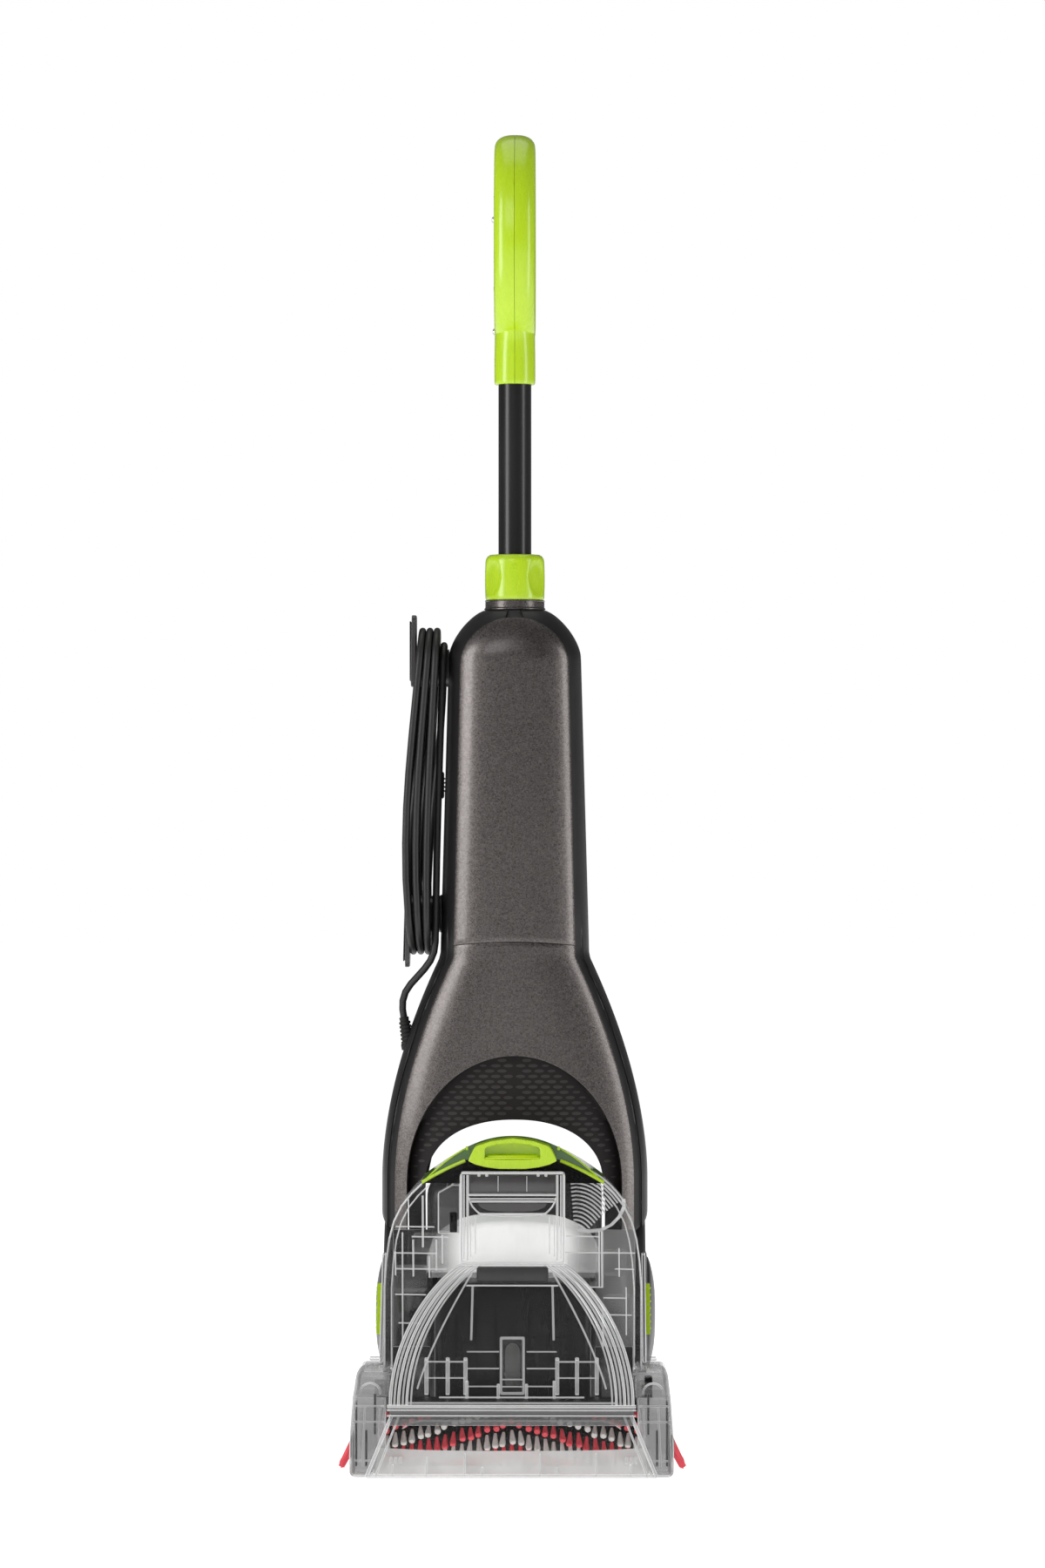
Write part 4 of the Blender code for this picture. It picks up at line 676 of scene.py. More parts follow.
foil = finish("satin_foil", "grey_plastic", drawn_paint((0.36, 0.36, 0.37), (0.5, 0.5, 0.5), 0.0006,
    (1.0, 0.05, 1.0), (0.34, 0.12), 0.00002, 0.5, 2.0), Metallic=0.85)
bm = bmesh.new()
prism(bm, round_rect(-0.02, 0.473, 0.02, 0.515, 0.0025), "Y", back_y - 0.0008, back_y + 0.0003)
piece("rating_plate", bm, [foil], "upright")


# ---- Grey covers on the column's front --------------------------------------------------------------------
# Two covers in titanium grey with fine metal flake under a clear coat. The upper one is round at its top;
# the lower one flares down both sides of the dark arch. They meet in a thin seam that rises a little at the
# middle.
def flake_paint(place):
    flakes = place.node("TexVoronoi", {"feature": "F1"}, {"Vector": place, "Scale": 1900.0}, 1)
    sparkle = place.node("SeparateColor", None, {0: flakes})
    coarse = place.node("TexVoronoi", {"feature": "F1"}, {"Vector": place, "Scale": 800.0}, 1)
    glint = place.node("SeparateColor", None, {0: coarse})
    cloud = place.noise(0.06, 2.0)
    tone = sparkle * 0.55 + glint * 0.3 + cloud * 0.15
    return {"Base Color": place.between((0.038, 0.033, 0.033), (0.175, 0.158, 0.151), tone),
        "Roughness": 0.26 + 0.2 * sparkle, "Normal": place.bump(sparkle, 0.00003, 0.22)}


flake_grey = finish("titanium_flake", "metallic_grey", flake_paint, Metallic=0.92, Coat_Weight=0.3,
    Coat_Roughness=0.14)
PROUD = -0.0031
SEAM_Z = 0.4333
ARCH_TOP_Z = 0.3388
ARCH_LOW_Z = 0.228


def seam_rise(x):
    return 0.0036 * (1 - min(abs(x) / 0.055, 1.0) ** 2)


def upper_cover(share, level):
    """level runs from 0 at the round top to 1 at the seam."""
    top = SHOULDER_Z - 0.008
    z = top + 0.0418 * (1 - (level / 0.3) ** 2) if level < 0.3 else top + (SEAM_Z + 0.0003 - top) * (level
        - 0.3) / 0.7
    x = (2 * share - 1) * cover_half_width(z)
    z += seam_rise(x) * smooth((level - 0.8) / 0.2)
    return Vector((x, front_y(x, z, PROUD), z))


bm = bmesh.new()
laid_grid(bm, 64, [i / 76 for i in range(77)], upper_cover)
walled(piece("upper_cover", bm, [flake_grey], "upright", ["upper_front_cover"], 30), 0.0025,
    (0, COLUMN_Y, 0.6), 0.0006)


def arch_half_width(z):
    rise = (z - ARCH_LOW_Z) / (ARCH_TOP_Z - ARCH_LOW_Z)
    return 0.0 if rise >= 1 else 0.093 * math.sqrt(1 - max(rise, 0.0) ** 2)


def lower_cover(share, z):
    inner = arch_half_width(z)
    outer = max(cover_half_width(z), inner + 0.006)
    x = inner + (outer - inner) * share
    z += seam_rise(x) * smooth((z - 0.39) / (SEAM_Z - 0.39))
    return Vector((x, front_y(x, z, PROUD), z))


def whole(bm):
    """Completes a right half that is open at the middle plane."""
    bmesh.ops.mirror(bm, geom=bm.verts[:] + bm.edges[:] + bm.faces[:], matrix=Matrix.Identity(4),
        merge_dist=0.00002, axis="X")


levels = [SEAM_Z - 0.0003 - (SEAM_Z - ARCH_TOP_Z) * i / 26 for i in range(26)]
levels += [ARCH_TOP_Z - (ARCH_TOP_Z - ARCH_LOW_Z) * (i / 44) ** 2 for i in range(45)]
levels += [ARCH_LOW_Z - (ARCH_LOW_Z - BOTTOM_Z) * i / 14 for i in range(1, 15)]
bm = bmesh.new()
laid_grid(bm, 40, levels, lower_cover)
whole(bm)
walled(piece("lower_cover", bm, [flake_grey], "upright", ["lower_front_cover"], 30), 0.0025,
    (0, COLUMN_Y, 0.36), 0.0006)


# ---- Arch panel -------------------------------------------------------------------------------------------
# A black panel set back in the arch. Rows of low lozenges, staggered like bricks, are moulded on it. Its
# edge turns forward to meet the grey cover, and its lower edge is the top of the way through.
PANEL_TOP_Z = 0.3384
PANEL_DEPTH = 0.008


def panel_edge(z):
    return min(arch_half_width(min(z, PANEL_TOP_Z)) + 0.004, half_width(z) - 0.018)


def panel_form(share, z):
    inner = opening_half_width(z)
    outer = panel_edge(z)
    x = inner + (outer - inner) * share
    forward = smooth((share - 0.93) / 0.07)
    return Vector((x, front_y(x, z, PANEL_DEPTH - 0.0072 * forward), z))


panel_black = finish("textured_black", "black_plastic", moulded_paint((0.009, 0.007, 0.007),
    (0.019, 0.015, 0.015), 0.46, 0.0005), Specular_IOR_Level=0.25)
levels = [PANEL_TOP_Z - (PANEL_TOP_Z - OPENING_TOP_Z) * (i / 30) ** 2 for i in range(30)]
levels += [OPENING_TOP_Z - (OPENING_TOP_Z - OPENING_LOW_Z) * (i / 40) ** 2 for i in range(41)] + [0.2205,
    0.215]
bm = bmesh.new()
laid_grid(bm, 36, levels, panel_form)
whole(bm)
walled(piece("dark_panel", bm, [panel_black], "upright", ["arch_panel"], 30), 0.0025, (0, COLUMN_Y, 0.29),
    0.0004)

lozenge_black = finish("lozenge_black", "black_plastic", moulded_paint((0.024, 0.019, 0.019),
    (0.038, 0.031, 0.031), 0.34, 0.0005), Specular_IOR_Level=0.4)
bm = bmesh.new()
for row in range(24):
    z = 0.3345 - row * 0.0046
    for column in range(-9, 10):
        x = (column + (0.5 if row % 2 else 0.0)) * 0.0107
        room = min(panel_edge(z) - 0.0085, arch_half_width(z) - 0.0045) - abs(x)
        if room < 0 or abs(x) < opening_half_width(z - 0.002) + 0.004:
            continue
        centre = Vector((x, front_y(x, z, PANEL_DEPTH), z))
        across = (Vector((x + 0.001, front_y(x + 0.001, z, PANEL_DEPTH), z)) - centre).normalized()
        up = (Vector((x, front_y(x, z + 0.001, PANEL_DEPTH), z + 0.001)) - centre).normalized()
        out = across.cross(up).normalized()
        size = min(1.0, 0.45 + room / 0.02)
        turn = Matrix((across * size, up * size, -out)).transposed().to_4x4()
        made = bmesh.ops.create_cone(bm, cap_ends=True, segments=12, radius1=0.0042, radius2=0.0034,
            depth=0.0007)
        bmesh.ops.scale(bm, verts=made["verts"], vec=(1.0, 0.36, 1.0))
        bmesh.ops.transform(bm, verts=made["verts"], matrix=Matrix.Translation(centre) @ turn)
piece("panel_lozenges", bm, [lozenge_black], "upright")


# ---- Neck, clamp collar and handle tube -------------------------------------------------------------------
# A grey ring closes the top of the column. A lime collar with a thumb hollow on each side screws down on it
# and clamps the handle tube, which is painted steel and slides in a plastic guide inside the column.
COLLAR_RADIUS = 0.0256
ring_low, ring_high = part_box("neck_ring")
bm = bmesh.new()
lathe(bm, [(0.015, ring_low.z), (0.0266, ring_low.z), (0.0266, ring_low.z + 0.0012),
    (0.0257, ring_low.z + 0.002), (0.0257, ring_high.z - 0.0014), (0.0262, ring_high.z - 0.0006),
    (COLLAR_RADIUS, ring_high.z), (0.015, ring_high.z)], (0, COLUMN_Y, 0), "Z", 72)
soften(piece("neck_ring_trim", bm, [flake_grey], "upright", ["neck_ring"], 30), 0.0003)

green_plastic = finish("lime_plastic", "green_plastic", moulded_paint((0.36, 0.55, 0.008),
    (0.46, 0.66, 0.014), 0.26, 0.0006), Specular_IOR_Level=0.5, Coat_Weight=0.25, Coat_Roughness=0.12)
collar_low, collar_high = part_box("twist_collar")
bm = bmesh.new()
height = collar_high.z - collar_low.z
wall = [(COLLAR_RADIUS + 0.0004 * math.sin(math.pi * i / 16), collar_low.z + height * (0.04 + 0.8 * i / 16))
    for i in range(17)]
lathe(bm, [(0.0149, collar_low.z), (0.025, collar_low.z)] + wall
    + [(0.0252, collar_high.z - 0.004), (0.0238, collar_high.z - 0.0016), (0.0218, collar_high.z - 0.0003),
    (0.018, collar_high.z), (0.0156, collar_high.z - 0.0012), (0.0149, collar_high.z - 0.004)],
    (0, COLUMN_Y, 0), "Z", 120)
for vert in bm.verts:
    across, deep = vert.co.x, vert.co.y - COLUMN_Y
    if math.hypot(across, deep) < 0.0225:
        continue
    angle = math.degrees(math.atan2(abs(deep), abs(across)))
    tall = abs(vert.co.z - (collar_low.z + height * 0.5)) / (height * 0.42)
    hollow = max(0.0, 1 - ((angle - 38) / 24) ** 2 - tall ** 2) ** 0.5
    shrink = 1 - 0.0022 * smooth(hollow) / COLLAR_RADIUS
    vert.co.x = across * shrink
    vert.co.y = COLUMN_Y + deep * shrink
piece("clamp_collar", bm, [green_plastic], "collar", ["twist_collar"], 40)

bm = bmesh.new()
for i in range(7):
    low = collar_low.z + 0.0085 + i * 0.0034
    wide = 0.003 - abs(i - 3) * 0.00055
    made = prism(bm, round_rect(-wide, low, wide, low + 0.0011, 0.0005, 3), "Y", -0.0006, 0.0)
    bmesh.ops.translate(bm, verts=made, vec=(0, COLUMN_Y - COLLAR_RADIUS, 0))
piece("collar_ticks", bm, [green_plastic], "collar")


def tube_paint(place):
    cloud = place.noise(0.03, 3.0, (1.0, 1.0, 0.4))
    peel = place.noise(0.0011, 2.0)
    return {"Base Color": place.between((0.004, 0.004, 0.004), (0.01, 0.009, 0.009), cloud),
        "Roughness": 0.24 + 0.12 * cloud, "Normal": place.bump(peel, 0.00004, 0.35)}


tube_black = finish("painted_tube", "black_plastic", tube_paint, Specular_IOR_Level=0.35, Coat_Weight=0.15,
    Coat_Roughness=0.1)
tube_low, tube_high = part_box("handle_tube")
bm = bmesh.new()
lathe(bm, [(0.0, tube_low.z), (0.013, tube_low.z), (0.0143, tube_low.z + 0.0012),
    (0.0143, tube_high.z - 0.0008), (0.0136, tube_high.z), (0.0, tube_high.z)], (0, COLUMN_Y, 0), "Z", 72)
piece("tube", bm, [tube_black], "handle", ["handle_tube"], 30)
guide_grey = finish("guide_grey", "grey_plastic", moulded_paint((0.18, 0.17, 0.17), (0.26, 0.25, 0.25), 0.5))
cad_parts["handle_guide"].data.materials[0] = guide_grey


# ---- Loop grip and trigger --------------------------------------------------------------------------------
# The lime grip is a long closed loop on the tube, moulded as two halves that meet on the middle plane. A
# black trigger hangs on a pin on the inside of the loop's back, under the fingers.
def sweep(bm, path, section, side, sizes=None, closed=False):
    """Draws a section of (across, out) points along a path. side is the direction that stays across it."""
    path = [Vector(point) for point in path]
    side = Vector(side)
    last = len(path)
    frames = []
    for i, point in enumerate(path):
        ahead = path[(i + 1) % last] if closed or i + 1 < last else point
        behind = path[i - 1] if closed or i else point
        along = (ahead - behind).normalized()
        across = (side - along * side.dot(along)).normalized()
        size = sizes[i] if sizes else (1.0, 1.0)
        turn = Matrix((across, along.cross(across), along)).transposed().to_4x4()
        frames.append(Matrix.Translation(point) @ turn @ Matrix.Diagonal((size[0], size[1], 1.0, 1.0)))
    ring = [bm.verts.new(frames[0] @ Vector((a, b, 0.0))) for a, b in section]
    made = list(ring)
    first = [bm.edges.new((a, b)) for a, b in zip(ring, ring[1:] + ring[:1])]
    edges = first
    if not closed:
        bm.faces.new(ring)
    for before, after in zip(frames, frames[1:]):
        grown = bmesh.ops.extrude_edge_only(bm, edges=edges)["geom"]
        moved = [item for item in grown if isinstance(item, bmesh.types.BMVert)]
        edges = [item for item in grown if isinstance(item, bmesh.types.BMEdge) and item.verts[0] in moved
            and item.verts[1] in moved]
        bmesh.ops.transform(bm, verts=moved, matrix=after @ before.inverted())
        made += moved
    if closed:
        bmesh.ops.bridge_loops(bm, edges=edges + first)
    else:
        bmesh.ops.contextual_create(bm, geom=edges)
    return made


LOOP_Y = COLUMN_Y + 0.012
LOOP_Z = 1.139 - 0.09235
BAR = 0.013


def half_round(width, thick, steps=14, power=2.5):
    """Half of a rounded section, flat on the parting plane."""
    points = []
    for i in range(steps + 1):
        angle = math.pi * i / steps
        points.append((0.00016 + (width - 0.00016) * math.sin(angle) ** (2 / power),
            thick * math.copysign(abs(math.cos(angle)) ** (2 / power), math.cos(angle))))
    return points


SIDES = ((1, "right"), (-1, "left"))
for side, label in SIDES:
    bm = bmesh.new()
    loop = [(0.0, LOOP_Y + (0.062 - BAR) * math.sin(math.tau * i / 112),
        LOOP_Z - (0.09235 - BAR) * math.cos(math.tau * i / 112)) for i in range(112)]
    slim = [(1.0, min(1.0 + 0.06 * math.cos(math.tau * (i / 112 - 0.75)), 1.0)) for i in range(112)]
    sweep(bm, loop, half_round(0.0178, BAR), (1, 0, 0), slim, True)
    stem_levels = [(0.9203, 0.955, 0.96), (0.9215, 0.985, 0.985), (0.924, 1.0, 1.0), (0.942, 1.0, 1.0),
        (0.953, 0.99, 1.1), (0.962, 0.985, 1.34), (0.97, 0.98, 1.66), (0.977, 0.975, 1.92)]
    stem = [(0.0, COLUMN_Y + 0.006 * smooth((z - 0.945) / 0.03), z) for z, wide, deep in stem_levels]
    sweep(bm, stem, half_round(0.0178, 0.0174, 14, 2.1), (1, 0, 0), [(w, d) for z, w, d in stem_levels])
    if side < 0:
        bmesh.ops.scale(bm, verts=bm.verts, vec=(-1.0, 1.0, 1.0))
    piece("grip_half_" + label, bm, [green_plastic], "handle", ["grip_" + label], 42)

bm = bmesh.new()
for y, z in ((LOOP_Y + 0.049, 1.01), (LOOP_Y + 0.049, 1.09), (LOOP_Y - 0.047, 1.06), (LOOP_Y, 0.9675)):
    screw(bm, (-0.0172, y, z), 0.003, Matrix.Rotation(math.radians(-90), 3, "Y"))
piece("grip_screws", bm, [steel], "handle")

y, z = 0.094, 1.072
outline = [(y + back, z + up) for back, up in ((0.004, 0.004), (-0.004, 0.0045), (-0.011, -0.004),
    (-0.0165, -0.013), (-0.0192, -0.023), (-0.0198, -0.034), (-0.0222, -0.044), (-0.0214, -0.0478),
    (-0.0168, -0.0482), (-0.014, -0.038), (-0.012, -0.03), (-0.003, -0.026))]
bm = bmesh.new()
prism(bm, outline, "X", -0.0048, 0.0048)
for rib in range(5):
    block(bm, (-0.0042, y - 0.0212, z - 0.022 - rib * 0.0044), (0.0042, y - 0.018,
        z - 0.0205 - rib * 0.0044), 0.0004, 1)
soften(piece("finger_trigger", bm, [black_plastic], "trigger", ["trigger"]), 0.0012, 3)
bm = bmesh.new()
lathe(bm, [(0.0, -0.0054), (0.0016, -0.0054), (0.0016, 0.0054), (0.0, 0.0054)], (0, y, z), "X", 20)
piece("trigger_pin", bm, [steel], "trigger")


# ---- Cord hooks -------------------------------------------------------------------------------------------
# Two black hooks stand out of the column's left side: a fat round post each, with a plate at its end. The
# lower one is part of the shell, and the upper one turns on its post, so that the whole hank slips off at
# once.
hook_black = finish("hook_black", "black_plastic", moulded_paint((0.02, 0.018, 0.018), (0.045, 0.042, 0.042),
    0.32), Specular_IOR_Level=0.6)
for name, node, post_z, up, body in (("turning_hook", "upper_cord_hook", UPPER_POST_Z, 1, "cord_release"),
        ("fixed_hook", "lower_cord_hook", LOWER_POST_Z, -1, "upright")):
    low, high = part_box(node)
    root = column_side(post_z) + (0.0015 if up > 0 else 0.0012)
    bm = bmesh.new()
    lathe(bm, [(0.0, low.x + 0.003), (0.0158, low.x + 0.003), (0.0158, root - 0.002), (0.017, root),
        (0.0, root)], (0, COLUMN_Y, post_z), "X", 56)
    half = (high.y - low.y) / 2
    tip = high.z if up > 0 else low.z
    bottom, top = sorted((tip, post_z - up * 0.016))
    plate = prism(bm, round_rect(COLUMN_Y - half, bottom, COLUMN_Y + half, top, 0.0065, 6), "X", 0.0, 0.0052)
    for vert in plate:
        reach = abs(vert.co.z - post_z) / 0.046
        vert.co.x += low.x - 0.0012 + (0.0004 + 0.0012 * reach if vert.co.x < 0.002 else 0.0)
    rib = prism(bm, round_rect(COLUMN_Y - half + 0.004, bottom + 0.005, COLUMN_Y + half - 0.004, top - 0.005,
        0.004, 5), "X", low.x - 0.0016, low.x - 0.0006)
    if up < 0:
        for vert in plate + rib:
            vert.co.x += column_side(vert.co.z) - column_side(low.z)
    soften(piece(name, bm, [hook_black], body, [node]), 0.001, 3)


# ---- Base tray, glide and squeegee ------------------------------------------------------------------------
# A black tray carries everything. It is wide in front of the wheels and narrow between them. A grey glide on
# its front takes the weight, and a rubber squeegee lies against its front wall behind the brush.
tray_low, tray_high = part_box("base_chassis")
house_low, house_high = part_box("motor_housing")
neck_y = AXLE_Y - 0.107 - 0.006
half = [(tray_high.x, tray_low.y), (tray_high.x, neck_y), (house_high.x, neck_y),
    (house_high.x, tray_high.y)]
bm = bmesh.new()
prism(bm, half + [(-x, y) for x, y in reversed(half)], "Z", tray_low.z, tray_high.z)
upright_edges = [edge for edge in bm.edges if abs(edge.verts[0].co.z - edge.verts[1].co.z) > 0.01]
rounded(bm, upright_edges, 0.008, 4)
soften(piece("base_tray", bm, [black_plastic], "foot", ["base_chassis"]), 0.0012, 3)
bm = bmesh.new()
for i in range(9):
    y = tray_low.y + 0.05 + i * 0.024
    half_x = 0.072 if y > neck_y - 0.004 else 0.108
    block(bm, (-half_x, y, tray_low.z - 0.003), (half_x, y + 0.002, tray_low.z + 0.001), 0.0005, 1)
for x in (-0.06, -0.02, 0.02, 0.06):
    block(bm, (x - 0.001, tray_low.y + 0.04, tray_low.z - 0.003),
        (x + 0.001, tray_high.y - 0.006, tray_low.z + 0.001), 0.0005, 1)
piece("tray_ribs", bm, [black_plastic], "foot")
grey_plastic = finish("grey_plastic", "grey_plastic", moulded_paint((0.17, 0.165, 0.16), (0.27, 0.26, 0.255),
    0.42), Specular_IOR_Level=0.5)
glide_low, glide_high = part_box("front_glide")
bm = bmesh.new()
block(bm, glide_low, glide_high, 0.003, 4)
piece("glide", bm, [grey_plastic], "foot", ["front_glide"])
lip_low, lip_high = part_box("squeegee")
bm = bmesh.new()
block(bm, (lip_low.x, lip_low.y, lip_low.z + 0.004), lip_high, 0.0006, 2)
for i in range(56):
    x = lip_low.x + 0.001 + i * (lip_high.x - lip_low.x - 0.004) / 55
    block(bm, (x, lip_low.y + 0.0002, lip_low.z), (x + 0.002, lip_high.y - 0.0006, lip_low.z + 0.006),
        0.0003, 1)
piece("rubber_lip", bm, [rubber], "foot", ["squeegee"])


# ---- Brush motor cover ------------------------------------------------------------------------------------
# A black hump in front of the motor housing covers the brush motor and the pump, and the tank straddles it.
# Ribs run down its front, and a grey spray tip stands in the middle.
hump_low, hump_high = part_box("foot_cover")
deep_black = finish("deep_black", "black_plastic", moulded_paint((0.0012, 0.001, 0.001),
    (0.006, 0.0055, 0.0055), 0.24), Specular_IOR_Level=0.22)
bm = bmesh.new()
block(bm, hump_low, hump_high, 0.0085, 5)
front = hump_low.y
for side in (-1, 1):
    for x in (0.014, 0.031, 0.048):
        block(bm, (side * x - 0.0012, front - 0.0022, hump_low.z + 0.004),
            (side * x + 0.0012, front + 0.004, hump_high.z - 0.014 - x * 0.25), 0.0007, 2)
for z in (0.066, 0.108):
    block(bm, (-0.055, front - 0.0014, z), (0.055, front + 0.003, z + 0.0018), 0.0006, 2)
piece("motor_cover", bm, [deep_black], "foot", ["foot_cover"])
for look, nodes in ((grey_plastic,
        "water_pump motor_pulley brush_bearing_left brush_bearing_right suction_fan"),
        (steel, "suction_motor brush_motor axle"), (rubber, "drive_belt spray_hose")):
    for node in nodes.split():
        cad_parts[node].data.materials[0] = look

tip_low, tip_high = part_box("spray_tip")
tip_y = (tip_low.y + tip_high.y) / 2
bm = bmesh.new()
lathe(bm, [(0.0, tip_low.z), (0.005, tip_low.z), (0.0062, tip_low.z + 0.0012), (0.0062, tip_high.z - 0.008),
    (0.0055, tip_high.z - 0.004), (0.0036, tip_high.z - 0.0012), (0.0, tip_high.z)], (0, tip_y, 0), "Z", 40)
lathe(bm, [(0.006, tip_low.z + 0.008), (0.007, tip_low.z + 0.0086), (0.007, tip_low.z + 0.011),
    (0.006, tip_low.z + 0.0116)], (0, tip_y, 0), "Z", 40)
piece("spray_nozzle", bm, [grey_plastic], "foot", ["spray_tip"])


# ---- Motor housing between the wheels ---------------------------------------------------------------------
# The black housing holds the suction motor. Its back is a long curve with air slots low down, and it carries
# the axle. A foot pedal behind it frees the column.
bm = bmesh.new()
front, back = house_low.y, house_high.y
side_line = [(front, house_low.z)] + arc((front + 0.02, house_high.z - 0.02), 0.02, 180, 90, 8)
side_line += arc((back - 0.082, house_high.z - 0.08), 0.08, 90, 0, 20) + [(back, house_low.z)]
prism(bm, side_line, "X", house_low.x, house_high.x)
ends = [edge for edge in bm.edges if abs(edge.verts[0].co.x - edge.verts[1].co.x) < 1e-6
    and (edge.verts[0].co.z > house_low.z + 0.001 or edge.verts[1].co.z > house_low.z + 0.001)]
rounded(bm, ends, 0.014, 6, True)
housing = piece("housing", bm, [black_plastic], "foot", ["motor_housing"], 30)
bm = bmesh.new()
for row in range(7):
    z = 0.066 + row * 0.0085
    prism(bm, round_rect(-0.046, z - 0.0019, 0.046, z + 0.0019, 0.0018, 4), "Y", back - 0.0012,
        back + 0.0016)
for x in (-0.052, 0.052):
    prism(bm, round_rect(x - 0.002, 0.058, x + 0.002, 0.126, 0.0018, 4), "Y", back - 0.0012, back + 0.0022)
soften(piece("air_ribs", bm, [black_plastic], "foot"), 0.0006)

pedal_low, pedal_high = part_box("recline_pedal")
y = pedal_low.y
bm = bmesh.new()
prism(bm, [(y, 0.034), (y, 0.046), (y + 0.01, 0.049), (y + 0.0285, 0.0444), (y + 0.03, 0.0415),
    (y + 0.029, 0.0388), (y + 0.01, 0.038)], "X", pedal_low.x, pedal_high.x)
for i in range(6):
    step_y = y + 0.01 + i * 0.003
    top = 0.049 - 0.0046 * (step_y - y - 0.01) / 0.0185
    block(bm, (pedal_low.x + 0.004, step_y, top - 0.001), (pedal_high.x - 0.004, step_y + 0.0013,
        top + 0.0004), 0.0003, 1)
soften(piece("foot_pedal", bm, [black_plastic], "recline_pedal", ["recline_pedal"]), 0.0013, 3)


# ---- Wheels and pivot arms --------------------------------------------------------------------------------
# Two large soft-black wheels turn on a steel axle. Each has a ribbed tread, a stepped face with eight webs
# and a domed cap. The column's two arms hang on the same axle between the wheels and the housing.
tyre_rubber = finish("tyre_rubber", "rubber", moulded_paint((0.008, 0.008, 0.008), (0.02, 0.019, 0.019),
    0.52), Specular_IOR_Level=0.4)
for side, label in SIDES:
    low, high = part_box("wheel_" + label)
    inner = low.x if side > 0 else -high.x
    tread = 0.015
    rim = 0.107
    bore = 0.0056
    bm = bmesh.new()
    profile = [(bore, 0.0), (0.022, 0.0), (0.026, 0.006), (rim - 0.012, 0.006), (rim - 0.009, 0.0),
        (rim - 0.003, 0.0), (rim - 0.0008, 0.0012), (rim, 0.004), (rim, 0.0098), (rim - 0.0012, 0.0126),
        (rim - 0.0052, 0.0148), (rim - 0.012, tread), (0.084, 0.0148), (0.083, 0.0134), (0.0815, 0.0134),
        (0.0805, 0.0147), (0.062, 0.0145), (0.0585, 0.012), (0.056, 0.01), (bore, 0.01)]
    lathe(bm, [(radius, inner + along) for radius, along in profile], (0, AXLE_Y, AXLE_Z), "X", 160)
    treads = [face for face in bm.faces if math.hypot(face.calc_center_median().y - AXLE_Y,
        face.calc_center_median().z - AXLE_Z) > rim - 0.0006 and face.calc_area() > 0.00001]
    treads.sort(key=lambda face: math.atan2(face.calc_center_median().z - AXLE_Z,
        face.calc_center_median().y - AXLE_Y))
    bmesh.ops.inset_individual(bm, faces=treads[::2], thickness=0.0004, depth=-0.0009)
    for web in range(8):
        turn = Matrix.Rotation(math.tau * web / 8, 3, "X")
        made = block(bm, (tread - 0.003, -0.0016, 0.064), (tread + 0.0006, 0.0016, 0.079), 0.0006, 2)
        bmesh.ops.rotate(bm, verts=made, cent=(0, 0, 0), matrix=turn)
        bmesh.ops.translate(bm, verts=made, vec=(inner, AXLE_Y, AXLE_Z))
    piece("road_wheel_" + label, bm, [tyre_rubber], "wheel_" + label, ["wheel_" + label], 30, side=side)
    bm = bmesh.new()
    profile = [(0.0, 0.0104), (0.054, 0.0104), (0.0555, 0.0145), (0.0552, 0.0156), (0.052, 0.017),
        (0.05, 0.0168), (0.0485, 0.0182), (0.044, 0.0199), (0.036, 0.0219), (0.028, 0.0233), (0.02, 0.0241),
        (0.017, 0.0236), (0.015, 0.0243), (0.0, 0.0245)]
    lathe(bm, profile, (inner, AXLE_Y, AXLE_Z), "X", 96)
    piece("wheel_cap_" + label, bm, [black_plastic], "wheel_" + label, ["hub_cap_" + label], 30, side=side)

    low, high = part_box("pivot_arm_" + label)
    outline = arc((AXLE_Y, AXLE_Z), 0.017, -155, 20, 24)
    outline += [(COLUMN_Y + 0.0215, WIDEST_Z), (COLUMN_Y + 0.0215, 0.262), (COLUMN_Y - 0.01, 0.262),
        (COLUMN_Y - 0.004, WIDEST_Z - 0.01)]
    bm = bmesh.new()
    prism(bm, outline, "X", low.x, high.x)
    lathe(bm, [(bore, low.x - 0.0006), (0.011, low.x - 0.0006), (0.011, high.x + 0.0006),
        (bore, high.x + 0.0006)], (0, AXLE_Y, AXLE_Z), "X", 40)
    soften(piece("column_arm_" + label, bm, [black_plastic], "upright", ["pivot_arm_" + label]), 0.0016, 3)


# ---- Clear nozzle hood ------------------------------------------------------------------------------------
# The nozzle is moulded in clear polycarbonate: a leaning front window between two side housings with rounded
# shoulders. Its rims and ribs are drawn in a finish with a painted glow and a painted white sheen, so that
# they read as bright lines, and a grey bar stiffens its top.
def clear_sheen_paint(body, rim, power=2.2, dark=0.13):
    """Clear plastic: almost unseen face on, and dense where it is seen edge on, where its colour turns white
    as a painted reflection.
    """
    def paint(place):
        facing = place.node("LayerWeight", None, {"Blend": 0.5}, 1)
        haze = place.noise(0.05, 3.0)
        mark = place.noise(0.0035, 4.0, (1.0, 1.0, 0.12))
        wave = place.noise(0.012, 2.0)
        edge = facing ** power
        return {"Alpha": body + body * 0.7 * haze + (rim - body) * edge,
            # The colour whitens towards the edges seen edge on: painted reflection, not a tint of the
            # plastic.
            "Base Color": place.between((dark, dark, dark), (0.92, 0.92, 0.92), edge),
            "Roughness": 0.035 + 0.08 * mark, "Normal": place.bump(wave, 0.0003, 0.25)}
    return paint


clear = finish("clear_plastic", "clear_plastic", clear_sheen_paint(0.03, 0.62, 3.0), Specular_IOR_Level=0.7)
